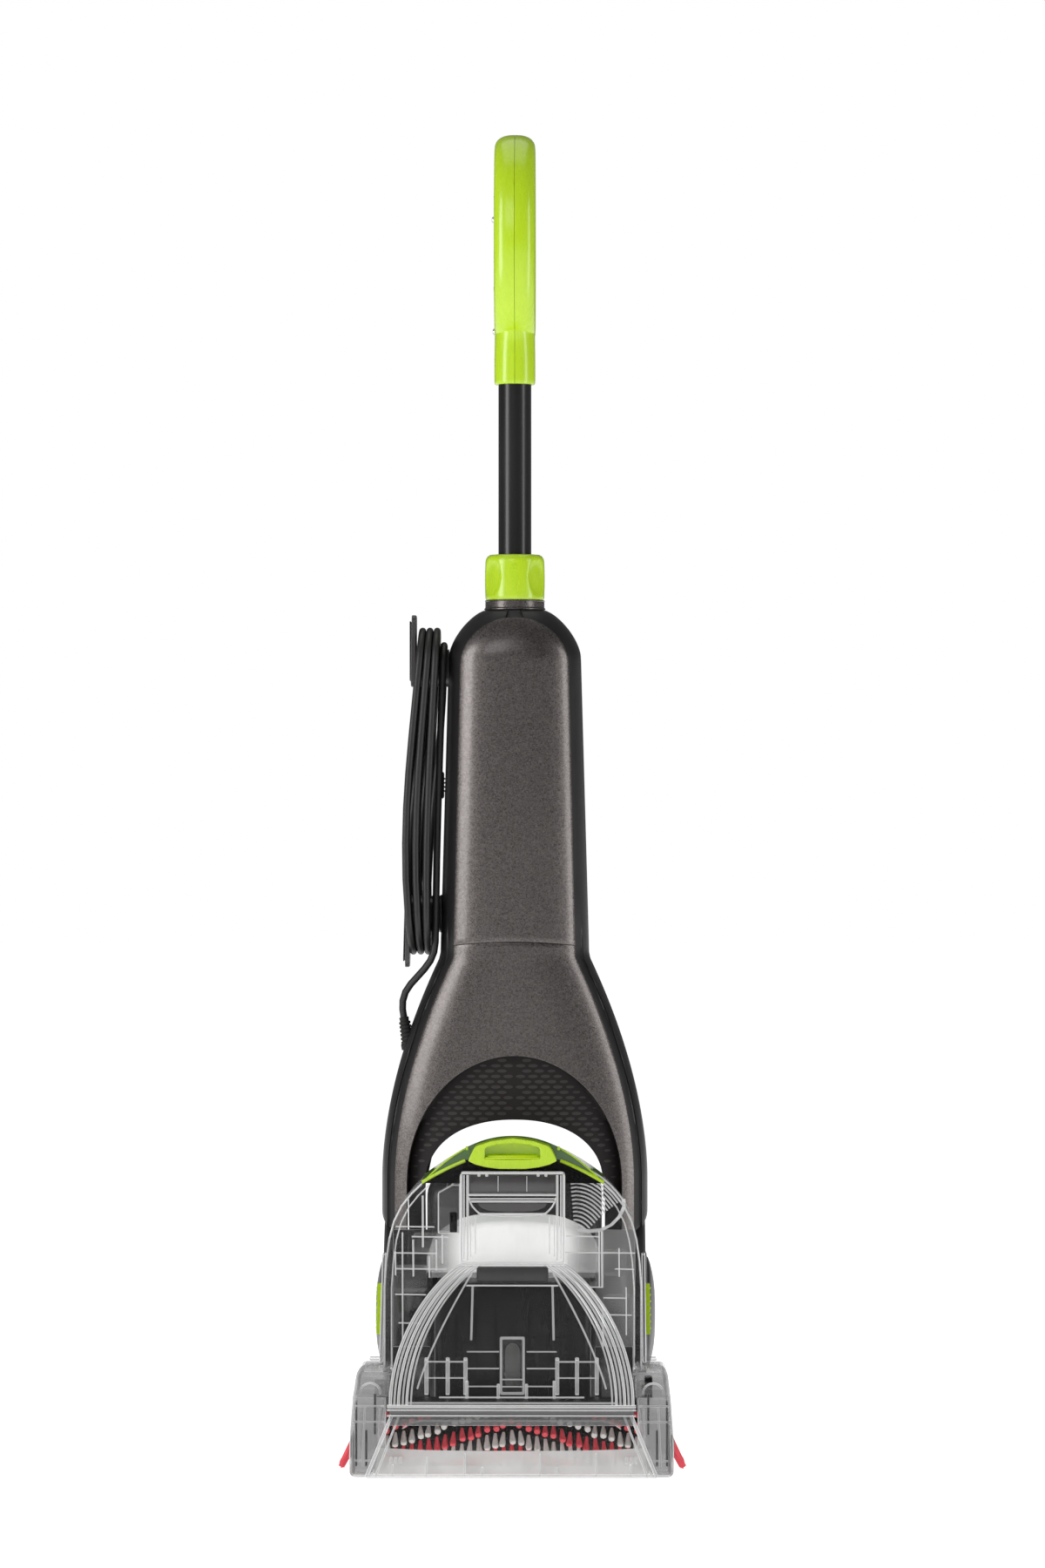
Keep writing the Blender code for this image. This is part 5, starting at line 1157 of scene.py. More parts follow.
# The rim finish glows white by emission: a painted highlight that makes rims and ribs read as bright lines.
clear_rim_glow = finish("clear_rim_glow", "clear_plastic", clear_sheen_paint(0.42, 0.95, 1.2), Specular_IOR_Level=0.9,
    Emission_Strength=0.34, Emission_Color=WHITE)
clear_thick = finish("clear_thick", "clear_plastic", clear_sheen_paint(0.16, 0.7, 2.4), Specular_IOR_Level=0.8)
FRONT_Y = cad_low.y
hood_low, hood_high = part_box("nozzle_hood")
bar_low, bar_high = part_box("nozzle_bar")
window_top = bar_low.z
WINDOW_LEAN = 0.0045


def rod(bm, points, radius, steps=8, side=None):
    """A thin round rib along some points."""
    ring = [(radius * math.cos(math.tau * i / steps), radius * math.sin(math.tau * i / steps))
        for i in range(steps)]
    ahead = (Vector(points[1]) - Vector(points[0])).normalized()
    sweep(bm, points, ring, side or ahead.orthogonal().normalized())


def bar(bm, low_x, high_x, y, z, radius, steps=8):
    """A straight rib across the machine."""
    rod(bm, [(low_x, y, z), (high_x, y, z)], radius, steps)


def lean(z):
    """The Y of the window's outer face at a height."""
    return FRONT_Y + WINDOW_LEAN * max(z - hood_low.z, 0.0) / (window_top - hood_low.z)


def lit(bm, edges, offset, segments=2, clamp=False):
    """Rounds some edges, and gives them the second finish."""
    for face in rounded(bm, edges, offset, segments, clamp):
        face.material_index = 1


def level_edges(bm, axis):
    """The edges that lie square to an axis, which is 0 for X and 1 for Y."""
    return [edge for edge in bm.edges if abs(edge.verts[0].co[axis] - edge.verts[1].co[axis]) < 1e-6]


bm = bmesh.new()
low_half, high_half = 0.1195, 0.0985
made = prism(bm, [(-low_half, hood_low.z - 0.001), (low_half, hood_low.z - 0.001), (high_half, window_top),
    (-high_half, window_top)], "Y", 0.0, 0.0022)
for vert in made:
    vert.co.y += lean(vert.co.z)
lit(bm, bm.edges[:], 0.0007)
piece("hood_window", bm, [clear, clear_rim_glow], "foot")

bm = bmesh.new()
for side in (-1, 1):
    z_low, z_high = hood_low.z, window_top
    rod(bm, [(side * low_half, lean(z_low) + 0.0005, z_low), (side * high_half, lean(z_high) + 0.0005,
        z_high)], 0.0015)
    rod(bm, [(side * (low_half - 0.0075), lean(z_low) + 0.001, z_low),
        (side * (high_half - 0.006), lean(z_high) + 0.001, z_high)], 0.0009)
rod(bm, [(-low_half, lean(0.0) + 0.001, z_low + 0.0012), (low_half, lean(0.0) + 0.001, z_low + 0.0012)],
    0.0013)
for x, tall in ((-0.07, 0.016), (-0.0385, 0.019), (-0.024, 0.008), (0.0233, 0.019), (0.0376, 0.008),
        (0.0698, 0.019), (-0.098, 0.01), (0.098, 0.01)):
    block(bm, (x - 0.0007, lean(0.0) + 0.002, z_low), (x + 0.0007, lean(0.0) + 0.007, z_low + tall), 0.0004,
        1)
for x in (-0.1005, 0.0935):
    for step in range(3):
        block(bm, (x + step * 0.0038, FRONT_Y + 0.0032, 0.0135),
            (x + 0.0026 + step * 0.0038, FRONT_Y + 0.0052, 0.019), 0.0004, 1)
piece("window_ribs", bm, [clear_rim_glow], "foot")

bm = bmesh.new()
top_line = [(-0.09, 0.0415), (-0.084, 0.0462), (-0.074, 0.048)]
line = [(x, FRONT_Y + 0.0105, z) for x, z in top_line] + [(-x, FRONT_Y + 0.0105, z) for x,
    z in reversed(top_line)]
rod(bm, line, 0.0006, 6, (0, 1, 0))
piece("chamber_line", bm, [clear_rim_glow], "foot")


def frost_paint(thin):
    def paint(place):
        haze = place.noise(0.03, 3.0)
        fine = place.noise(0.001, 2.0)
        return {"Alpha": thin + (1 - thin) * 0.35 * haze, "Base Color": place.between((0.66, 0.66, 0.65),
            (0.84, 0.84, 0.83), haze), "Roughness": 0.4 + 0.15 * haze,
            "Normal": place.bump(fine, 0.0001, 0.5)}
    return paint


frosted_band = finish("frosted_band", "frosted_plastic", frost_paint(0.62))
bm = bmesh.new()
sag = [(i / 24 * 2 - 1, 0.0262 - 0.0028 * (1 - abs(i / 24 * 2 - 1) ** 3)) for i in range(25)]
band = [(-0.113, 0.0045), (0.113, 0.0045)] + [(-share * 0.113, z) for share, z in sag]
made = prism(bm, band, "Y", 0.0, 0.0012)
for vert in made:
    vert.co.y += lean(vert.co.z) + 0.0075
piece("wash_band", bm, [frosted_band], "foot")

band_grey = finish("band_grey", "grey_plastic", clear_sheen_paint(0.42, 0.85), Specular_IOR_Level=0.7)
bm = bmesh.new()
block(bm, (-high_half - 0.002, FRONT_Y + 0.003, window_top - 0.0085),
    (high_half + 0.002, FRONT_Y + 0.0072, window_top - 0.0005), 0.0012, 3)
piece("grey_band", bm, [band_grey], "foot")
bar_grey = finish("bar_grey", "grey_plastic", moulded_paint((0.045, 0.045, 0.045), (0.09, 0.09, 0.09), 0.22),
    Specular_IOR_Level=0.7)
bm = bmesh.new()
block(bm, (bar_low.x - 0.001, bar_low.y, bar_low.z), (bar_high.x + 0.001, bar_high.y, bar_high.z - 0.001),
    0.0018, 4)
piece("stiff_bar", bm, [bar_grey], "foot", ["nozzle_bar"])
bm = bmesh.new()
for z, radius in ((bar_high.z - 0.0006, 0.0013), (bar_low.z + 0.0044, 0.0008), (bar_low.z - 0.0004, 0.0007)):
    bar(bm, -high_half - 0.004, high_half + 0.004, bar_low.y - 0.0004, z, radius)
piece("bar_beads", bm, [clear_rim_glow], "foot")

edge_glow = finish("edge_glow", "clear_plastic", clear_sheen_paint(0.34, 0.8, 1.8), Specular_IOR_Level=0.8)
side_view = [(FRONT_Y + 0.001, hood_low.z), (FRONT_Y + 0.003, 0.04), (FRONT_Y + 0.012, 0.07)]
side_view += arc((FRONT_Y + 0.048, 0.067), 0.02, 145, 90, 6)
side_view += [(hood_high.y - 0.012, 0.0862), (hood_high.y - 0.004, 0.0835), (hood_high.y, 0.077),
    (hood_high.y, hood_low.z + 0.028), (hood_high.y - 0.03, hood_low.z)]
for side, label in SIDES:
    bm = bmesh.new()
    prism(bm, side_view, "X", 0.1012, 0.134)
    for face in rounded(bm, level_edges(bm, 0), 0.0055, 4, True):
        face.material_index = 1 if face.calc_center_median().x > 0.131 else 0
    for vert in bm.verts:
        rise = max(vert.co.z, 0.0) / 0.087
        if vert.co.x > 0.118:
            vert.co.x -= 0.005 * rise ** 2.4
        if vert.co.x < 0.108 and vert.co.y < FRONT_Y + 0.04:
            vert.co.x += 0.013 * (1 - rise) ** 1.5
    nodes = ["nozzle_hood"] if side > 0 else []
    housing = piece("hood_side_" + label, bm, [clear_thick, edge_glow], "foot", nodes, 40, side=side)
    walled(housing, 0.002, (side * 0.118, FRONT_Y + 0.06, 0.04), 0.0)
    bm = bmesh.new()
    for y, x, top in ((FRONT_Y + 0.02, 0.104, 0.066), (FRONT_Y + 0.05, 0.1145, 0.08),
            (FRONT_Y + 0.08, 0.104, 0.08)):
        block(bm, (x, y, 0.006), (0.129, y + 0.0016, top), 0.0005, 1)
    for z in (0.06, 0.047, 0.015):
        bar(bm, 0.105, 0.13, FRONT_Y + 0.012, z, 0.0008)
    for x, z_low, z_high in ((0.1105, 0.008, 0.058), (0.123, 0.01, 0.06)):
        rod(bm, [(x, FRONT_Y + 0.012, z_low), (x - 0.002, FRONT_Y + 0.014, z_high)], 0.0008)
    rod(bm, [(x, FRONT_Y + 0.024, z) for x, z in arc((0.117, 0.069), 0.0085, 185, -5, 12)], 0.0009, 8,
        (0, 1, 0))
    piece("hood_ribs_" + label, bm, [clear_rim_glow], "foot", side=side)

# Dark smoked sheets and strips inside the hood's side housings darken them: painted shade for the enclosed
# housings.
hood_shade_sheets = bmesh.new()
smoke = finish("smoked_clear", "clear_plastic", clear_sheen_paint(0.62, 0.8, 2.0, 0.03), Specular_IOR_Level=0.6)
bm = bmesh.new()
block(bm, (-0.126, FRONT_Y + 0.026, 0.02), (-0.1134, FRONT_Y + 0.078, 0.056), 0.005, 3)
block(bm, (0.1134, FRONT_Y + 0.026, 0.016), (0.1245, FRONT_Y + 0.078, 0.052), 0.005, 3)
block(bm, (0.11, FRONT_Y + 0.03, 0.06), (0.1165, FRONT_Y + 0.05, 0.0815), 0.0012, 2)
for side in (-1, 1):
    low_x, high_x = sorted((side * 0.104, side * 0.129))
    block(hood_shade_sheets, (low_x, FRONT_Y + 0.08, 0.004), (high_x, FRONT_Y + 0.0825, 0.074), 0.004, 2)
    for x, z_low, z_high in ((0.1282, 0.01, 0.064), (0.1128, 0.036, 0.07), (0.12, 0.01, 0.04)):
        block(hood_shade_sheets, (side * x - 0.001, FRONT_Y + 0.014, z_low),
            (side * x + 0.001, FRONT_Y + 0.016, z_high), 0.0006, 2)
piece("hood_painted_shade", hood_shade_sheets, [smoke], "foot")
piece("end_covers", bm, [deep_black], "foot")

BRUSH_Y, BRUSH_Z = FRONT_Y + 0.0505, 0.0305
bm = bmesh.new()
prism(bm, arc((BRUSH_Y, BRUSH_Z), 0.0325, 128, 0, 16) + arc((BRUSH_Y, BRUSH_Z), 0.0308, 0, 128, 16), "X",
    -0.1128, 0.1128)
piece("brush_roof", bm, [deep_black], "foot", angle=50)


# ---- Brush roll and edge combs ----------------------------------------------------------------------------
# The roll is a black core with chevrons of nylon tufts, red and natural white, each flared at its tips. A
# red comb at each end of the nozzle cleans along the skirting.
def nylon_paint(low, high):
    def paint(place):
        strand = place.noise(0.0005, 3.0)
        cloud = place.noise(0.004, 2.0)
        return {"Base Color": place.between(low, high, strand * 0.6 + cloud * 0.4),
            "Roughness": 0.38 + 0.2 * strand, "Normal": place.bump(strand, 0.0002, 0.8)}
    return paint


red_nylon = finish("red_nylon", "red_bristle", nylon_paint((0.7, 0.03, 0.055), (0.98, 0.12, 0.15)))
white_nylon = finish("white_nylon", "red_bristle", nylon_paint((0.62, 0.61, 0.58), (0.9, 0.89, 0.86)))
core_low, core_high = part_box("brush_core")


def tuft(bm, root, tip, thin, wide, steps=12):
    """A bundle of bristles, tied at its root and splayed at its ragged tip."""
    root, tip = Vector(root), Vector(tip)
    length = (tip - root).length
    made = bmesh.ops.create_cone(bm, cap_ends=True, segments=steps, radius1=thin, radius2=wide,
        depth=length)["verts"]
    for i, vert in enumerate(vert for vert in made if vert.co.z > 0):
        vert.co.z -= length * (0.16 if i % 2 else 0.0)
        vert.co.x *= 1.0 if i % 2 else 0.86
        vert.co.y *= 1.0 if i % 2 else 0.86
    turn = (tip - root).to_track_quat("Z", "Y").to_matrix().to_4x4()
    bmesh.ops.transform(bm, verts=made, matrix=Matrix.Translation((root + tip) / 2) @ turn)


bm = bmesh.new()
profile = [(0.0, core_low.x), (0.004, core_low.x), (0.004, -0.112), (0.016, -0.112), (0.0165, -0.1115)]
profile += [(0.0165, 0.1115), (0.016, 0.112), (0.004, 0.112), (0.004, core_high.x), (0.0, core_high.x)]
lathe(bm, profile, (0, BRUSH_Y, BRUSH_Z), "X", 48)
piece("roll_core", bm, [deep_black], "brush", ["brush_core"], 30)
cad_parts["brush_pulley"].data.materials[0] = grey_plastic
shapes = {0: bmesh.new(), 1: bmesh.new()}
luck = Random(11)
for row, kind in enumerate((1, 0, 1, 0, 1, 0, 1, 0, 0)):
    for i in range(-15, 16):
        x = i * 0.0069
        angle = math.radians(106 - row * 40 - 950 * abs(x) + luck.uniform(-3, 3))
        rake = angle - math.radians(70)
        out = Vector((0, -math.cos(angle), math.sin(angle)))
        lay = Vector((luck.uniform(-0.1, 0.1), -math.cos(rake), math.sin(rake)))
        root = Vector((x, BRUSH_Y, BRUSH_Z)) + out * 0.016
        tuft(shapes[kind], root, root + lay * 0.0125, 0.0013, 0.0028)
piece("red_tufts", shapes[0], [red_nylon], "brush", ["brush_bristles"], 60)
piece("white_tufts", shapes[1], [white_nylon], "brush", angle=60)

COMB_X = 0.1338
for side, label in SIDES:
    low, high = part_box("edge_bristles_" + label)
    bm = bmesh.new()
    for i in range(15):
        y = low.y + 0.002 + i * (high.y - low.y - 0.004) / 14
        for z, reach, drop in ((0.0265, 0.0062, 0.016), (0.0225, 0.0086, 0.015), (0.018, 0.0078, 0.012)):
            root = (COMB_X, y + luck.uniform(-0.0006, 0.0006), z)
            tip = (COMB_X + reach + luck.uniform(-0.0006, 0.0006), y + luck.uniform(-0.0016, 0.0016),
                z - drop)
            tuft(bm, root, tip, 0.0011, 0.0022, 8)
    piece("edge_comb_" + label, bm, [red_nylon], "foot", ["edge_bristles_" + label], 60, side=side)
    bm = bmesh.new()
    block(bm, (0.1322, low.y, 0.015), (0.1346, high.y, 0.029), 0.0006, 2)
    piece("comb_holder_" + label, bm, [grey_plastic], "foot", side=side)


# ---- Clear suction duct -----------------------------------------------------------------------------------
# A flat clear duct climbs from the nozzle to the tank. Its front pane is arch-shaped, and bundles of ribs
# run along both sides. Behind it stand the clips and posts of the nozzle's back.
duct_low, duct_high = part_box("suction_duct")
HEAD_HALF = 0.0432
FOOT_HALF = 0.1
SETBACK = 0.066


def duct_half(share):
    return HEAD_HALF + (FOOT_HALF - HEAD_HALF) * (1 - min(share, 1.0) ** 2) ** 0.8


def duct_spot(share, across, deep=0.0):
    """A point on the duct's front pane: across runs from -1 to 1 between its edges."""
    z = duct_low.z + (duct_high.z - duct_low.z) * share
    return Vector((across * duct_half(share), FRONT_Y + WINDOW_LEAN + SETBACK * share + deep, z))


shares = [1 - (1 - i / 34) ** 1.5 for i in range(35)]
bm = bmesh.new()
laid_grid(bm, 28, shares, lambda across, share: duct_spot(share, across * 2 - 1, 0.001))
walled(piece("duct_pane", bm, [clear], "foot", ["suction_duct"]), 0.0018, (0, 0.1, 0.1), 0.0)
bm = bmesh.new()
laid_grid(bm, 28, shares, lambda across, share: duct_spot(share, across * 2 - 1, 0.0138 + 0.008 * share))
walled(piece("duct_back", bm, [clear], "foot"), 0.0016, (0, 0.1, 0.1), 0.0)
bm = bmesh.new()
for side in (-1, 1):
    laid_grid(bm, 6, shares, lambda across, share: duct_spot(share, side,
        0.001 + across * (0.0125 + 0.008 * share)))
walled(piece("duct_sides", bm, [clear_thick], "foot"), 0.0014, (0, -0.16, 0.1), 0.0)
bm = bmesh.new()
line = [1 - (1 - i / 26) ** 1.5 for i in range(27)]
for side in (-1, 1):
    for step, (radius, forward) in enumerate(((0.0013, 0.0), (0.0009, 0.002), (0.0012, 0.0), (0.0008, 0.004),
            (0.0011, 0.001), (0.0007, 0.006))):
        inset = 0.0034 * step
        points = [duct_spot(share, side, forward) - Vector((side * inset, 0, 0)) for share in line]
        rod(bm, points, radius, 7)
piece("duct_ribs", bm, [clear_rim_glow], "foot")
bm = bmesh.new()
for side in (-1, 1):
    points = []
    for i in range(15):
        share = 0.1 + 0.78 * i / 14
        x = side * (0.0325 + 0.048 * (1 - (share / 0.9) ** 1.35))
        points.append((x, FRONT_Y + WINDOW_LEAN + SETBACK * share + 0.01, duct_low.z + 0.1164 * share))
    rod(bm, points, 0.0007, 6)
    rod(bm, [(side * 0.0335, duct_high.y - 0.008, duct_high.z - 0.018),
        (side * 0.0345, duct_high.y - 0.02, 0.108)], 0.0009, 6)
for z, half_x, y in ((0.1545, 0.0385, -0.144), (0.0625, 0.086, -0.1935), (0.0665, 0.06, -0.188)):
    bar(bm, -half_x, half_x, y, z, 0.0007, 6)
piece("duct_lines", bm, [clear_rim_glow], "foot")

bm = bmesh.new()
hinge_grey = finish("hinge_grey", "grey_plastic", moulded_paint((0.022, 0.021, 0.021), (0.045, 0.043, 0.043),
    0.3))
block(bm, (-0.03, -0.134, 0.156), (0.03, -0.1255, 0.169), 0.002, 3)
piece("hinge_bar", bm, [hinge_grey], "foot")

bm = bmesh.new()
post_y = hump_low.y - 0.03
for x in (-0.0715, -0.0538, -0.039, 0.0375, 0.054, 0.0705):
    block(bm, (x - 0.0016, post_y, 0.064), (x + 0.0016, post_y + 0.01, 0.093), 0.0006, 2)
    lathe(bm, [(0.0, 0.093), (0.0016, 0.093), (0.0016, 0.0945), (0.0, 0.095)], (x, post_y + 0.004, 0), "Z",
        14)
for x, tall in ((-0.0375, 0.0725), (-0.0115, 0.07), (0.012, 0.07), (0.035, 0.0725)):
    block(bm, (x - 0.0012, post_y - 0.012, 0.062), (x + 0.0012, post_y - 0.004, tall + 0.004), 0.0005, 1)
for low_x, high_x in ((-0.073, -0.054), (-0.0535, -0.039), (0.0375, 0.0535), (0.054, 0.072)):
    bar(bm, low_x, high_x, post_y + 0.002, 0.0915, 0.0007, 6)
    bar(bm, low_x, high_x, post_y + 0.002, 0.078, 0.0006, 6)
for z in (0.07, 0.085, 0.099):
    bar(bm, -0.038, -0.011, post_y + 0.01, z, 0.0006, 6)
    bar(bm, 0.012, 0.037, post_y + 0.01, z, 0.0006, 6)
piece("nozzle_clips", bm, [clear_rim_glow], "foot")

bm = bmesh.new()
for side in (-1, 1):
    low_x, high_x = sorted((side * 0.069, side * 0.101))
    block(bm, (low_x, FRONT_Y + 0.087, 0.056), (high_x, FRONT_Y + 0.0895, 0.101), 0.001, 2)
piece("foot_backs", bm, [smoke], "foot")

bm = bmesh.new()
block(bm, (-0.0098, tip_y - 0.015, 0.064), (0.0098, tip_y - 0.0072, 0.111), 0.0016, 3)
piece("spray_block", bm, [clear_thick], "foot")
bm = bmesh.new()
framed(bm, round_rect(-0.0104, 0.0634, 0.0104, 0.1116, 0.0014, 2),
    round_rect(-0.0084, 0.0654, 0.0084, 0.1096, 0.001, 2), "Y", tip_y - 0.0162, tip_y - 0.0146)
for z in (0.076, 0.07):
    bar(bm, -0.0084, 0.0084, tip_y - 0.0155, z, 0.0006, 6)
piece("spray_frame", bm, [clear_rim_glow], "foot")


# ---- Side arms and their green latches --------------------------------------------------------------------
# Flat clear arms rise at both sides of the tank and hold the nozzle on. A lime latch slides along each of
# them.
for side, label in SIDES:
    low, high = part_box("nozzle_arm_" + label)
    inner = low.x if side > 0 else -high.x
    outline = [(hood_high.y - 0.034, low.z), (hood_high.y + 0.004, low.z), (hood_high.y + 0.052, high.z),
        (hood_high.y + 0.036, high.z)]
    bm = bmesh.new()
    prism(bm, outline, "X", inner, inner + 0.003)
    lit(bm, bm.edges[:], 0.0008)
    block(bm, (inner - 0.0002, hood_high.y - 0.01, low.z - 0.001),
        (inner + 0.012, hood_high.y + 0.001, low.z + 0.0016), 0.0005, 1)
    piece("side_arm_" + label, bm, [clear_thick, clear_rim_glow], "foot", ["nozzle_arm_" + label], side=side)
    low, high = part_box("nozzle_latch_" + label)
    inner = low.x if side > 0 else -high.x
    outline = [(hood_high.y + 0.006, low.z), (hood_high.y + 0.014, low.z), (hood_high.y + 0.038, high.z),
        (hood_high.y + 0.03, high.z)]
    bm = bmesh.new()
    prism(bm, outline, "X", inner, inner + 0.0035)
    for rib in range(7):
        share = (rib + 0.8) / 7.6
        y = hood_high.y + 0.006 + 0.024 * share
        z = low.z + (high.z - low.z) * share
        block(bm, (inner + 0.003, y + 0.001, z), (inner + 0.0045, y + 0.007, z + 0.0014), 0.0004, 1)
    soften(piece("latch_slide_" + label, bm, [green_plastic], "nozzle_latch_" + label,
        ["nozzle_latch_" + label], side=side), 0.0009, 3)


# ---- Two-in-one tank --------------------------------------------------------------------------------------
# The clear tank straddles the motor hump. A frosted inner chamber shows white through its front, with a
# painted glow, and clear boxes beside it hold the valves. Its bright lines are moulded ribs and the edges of
# its walls, drawn with a painted glow and a painted white sheen.
tank_low, tank_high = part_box("tank_shell")
TANK_HALF = tank_high.x
STRADDLE_HALF = 0.0695
LID_EDGE = 0.0765, 0.2366
tank_front = tank_high.y - 0.1
right_side = [(TANK_HALF, tank_low.z + 0.004), (TANK_HALF, 0.15), (0.1065, 0.172), (0.104, 0.19),
    (0.1, 0.205), (0.0935, 0.218), (0.085, 0.2285), LID_EDGE]


def lid_base(x):
    """The height of the lid's lower edge."""
    return LID_EDGE[1] + 0.0275 * (1 - min(abs(x) / LID_EDGE[0], 1.0) ** 1.7)


def mirrored(points):
    """The left half of an outline whose right half is given, walked backwards."""
    return [(-x, z) for x, z in reversed(points)]


roof = [(x, lid_base(x) + 0.0012) for x in (LID_EDGE[0] * math.cos(math.pi * i / 24) for i in range(1, 24))]
outline = [(TANK_HALF - 0.004, tank_low.z)] + right_side + roof
outline += mirrored(right_side) + [(-(TANK_HALF - 0.004), tank_low.z)]
outline += [(-STRADDLE_HALF, tank_low.z), (-STRADDLE_HALF, 0.158), (STRADDLE_HALF, 0.158),
    (STRADDLE_HALF, tank_low.z)]
tank_clear = finish("tank_clear", "clear_plastic", clear_sheen_paint(0.055, 0.62, 3.0), Specular_IOR_Level=0.7)
bm = bmesh.new()
prism(bm, outline, "Y", tank_front, tank_high.y)
sharp = [edge for edge in level_edges(bm, 1) if edge.verts[0].co.y < tank_front + 0.001
    and max(abs(v.co.x) for v in edge.verts) > 0.0699]
rounded(bm, sharp, 0.006, 5, True)
piece("tank_walls", bm, [tank_clear], "tank", ["tank_shell"], 40)

bm = bmesh.new()
front = tank_front - 0.0002
for side in (-1, 1):
    rod(bm, [(side * x, front + 0.004, z) for x, z in right_side], 0.0009, 6, (0, 1, 0))
    rod(bm, [(side * (x - 0.006), front + 0.002, z - 0.001) for x, z in right_side], 0.0007, 6, (0, 1, 0))
    bar(bm, side * 0.076, side * 0.104, front + 0.001, tank_low.z + 0.002, 0.0009, 6)
for x, z_low, z_high, radius in ((-0.0755, 0.1835, 0.227, 0.0008), (-0.059, 0.17, 0.194, 0.0006),
        (-0.0835, 0.159, 0.19, 0.0007), (-0.0925, 0.102, 0.196, 0.0006), (-0.07, 0.158, 0.176, 0.0006),
        (0.0752, 0.15, 0.197, 0.0008), (0.0728, 0.15, 0.197, 0.0006), (0.0895, 0.159, 0.183, 0.0006),
        (0.076, 0.095, 0.136, 0.0008), (0.0955, 0.11, 0.15, 0.0006), (-0.0985, 0.16, 0.18, 0.0006),
        (-0.064, 0.164, 0.19, 0.0006)):
    rod(bm, [(x, front, z_low), (x - 0.0002, front, z_high)], radius, 6)
for x_low, x_high, z in ((-0.0985, -0.066, 0.201), (-0.085, -0.054, 0.1925), (-0.1, -0.064, 0.1788),
        (-0.0985, -0.056, 0.1655), (-0.099, -0.073, 0.144), (0.043, 0.103, 0.1792), (0.043, 0.076, 0.1505),
        (0.076, 0.096, 0.1412), (0.076, 0.1, 0.127), (0.045, 0.073, 0.193), (-0.096, -0.077, 0.12),
        (0.086, 0.102, 0.1655)):
    rod(bm, [(x_low, front + 0.0004, z), (x_high, front + 0.0004, z - 0.0004)], 0.0006, 6)
piece("tank_ribs", bm, [clear_rim_glow], "tank")

bm = bmesh.new()
for low, high in (((-0.1, 0.145), (-0.073, 0.165)), ((-0.085, 0.179), (-0.06, 0.1925)),
        ((0.046, 0.151), (0.073, 0.179)), ((0.0765, 0.159), (0.095, 0.1785)),
        ((0.077, 0.096), (0.1, 0.1405))):
    prism(bm, round_rect(low[0], low[1], high[0], high[1], 0.003, 4), "Y", tank_front + 0.006,
        tank_front + 0.04)
tank_back = tank_high.y - 0.003
piece("valve_boxes", bm, [finish("clear_box", "clear_plastic", clear_sheen_paint(0.09, 0.62, 2.2),
    Specular_IOR_Level=0.8)], "tank")

bm = bmesh.new()
box_outline = [(-0.063, 0.195), (-0.0445, 0.195), (-0.0445, 0.236), (-0.051, 0.236), (-0.063, 0.229)]
prism(bm, box_outline, "Y", tank_front + 0.001, tank_front + 0.02)
lit(bm, bm.edges[:], 0.0009)
piece("float_cage", bm, [finish("cage_clear", "clear_plastic", clear_sheen_paint(0.26, 0.75, 1.8),
    Specular_IOR_Level=0.7), clear_rim_glow], "tank")
bm = bmesh.new()
block(bm, (-0.053, tank_front + 0.0, 0.196), (-0.0468, tank_front + 0.003, 0.213), 0.0008, 2)
block(bm, (-0.056, tank_front + 0.021, 0.23), (-0.045, tank_front + 0.026, 0.245), 0.002, 2)
piece("cage_slot", bm, [deep_black], "tank")
milky = finish("milky_clear", "clear_plastic", clear_sheen_paint(0.62, 0.85, 2.0, 0.3), Specular_IOR_Level=0.6)
for side, label, look in ((-1, "left", smoke), (1, "right", milky)):
    low_x, high_x = sorted((side * 0.07, side * 0.104))
    bm = bmesh.new()
    block(bm, (low_x, tank_back, 0.08), (high_x, tank_back + 0.0018, 0.19), 0.0008, 2)
    piece("back_pane_" + label, bm, [look], "tank")


def dome_paint(place):
    """Frosted white, dense over the middle and thinner towards the sides."""
    across = place.node("SeparateXYZ", None, {0: place}, 0)
    side = place.node("Math", {"operation": "ABSOLUTE"}, {0: across})
    fade = place.node("MapRange", {"interpolation_type": "SMOOTHSTEP"},
        {"Value": side, "From Min": 0.028, "From Max": 0.064, "To Min": 0.93, "To Max": 0.22})
    haze = place.noise(0.02, 3.0)
    cloud = place.noise(0.007, 3.0, (1.0, 1.0, 0.35))
    return {"Alpha": fade - 0.1 * haze, "Roughness": 0.35 + 0.2 * haze,
        "Base Color": place.between((0.72, 0.72, 0.71), (0.9, 0.9, 0.89), cloud),
        "Normal": place.bump(cloud, 0.0005, 0.5)}


# The chamber glows white by emission: a painted glow that keeps it bright whatever light reaches it.
frosted_white_glow = finish("frosted_white_glow", "frosted_plastic", dome_paint, Specular_IOR_Level=0.5,
    Emission_Strength=0.42, Emission_Color=WHITE)
chamber_low, chamber_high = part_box("inner_chamber")
bm = bmesh.new()
crown = [(0.0726, 0.1611), (0.0726, 0.174), (0.07, 0.1815), (0.066, 0.187), (0.06, 0.1925), (0.053, 0.1968),
    (0.044, 0.2006), (0.034, 0.203), (0.018, 0.2042)]
prism(bm, crown + [(0.0, 0.2046)] + mirrored(crown), "Y", chamber_low.y, chamber_high.y)
sharp = [edge for edge in level_edges(bm, 1) if edge.verts[0].co.y < chamber_low.y + 0.001]
rounded(bm, sharp, 0.0055, 6, True)
piece("frosted_chamber", bm, [frosted_white_glow], "tank", ["inner_chamber"], 60)


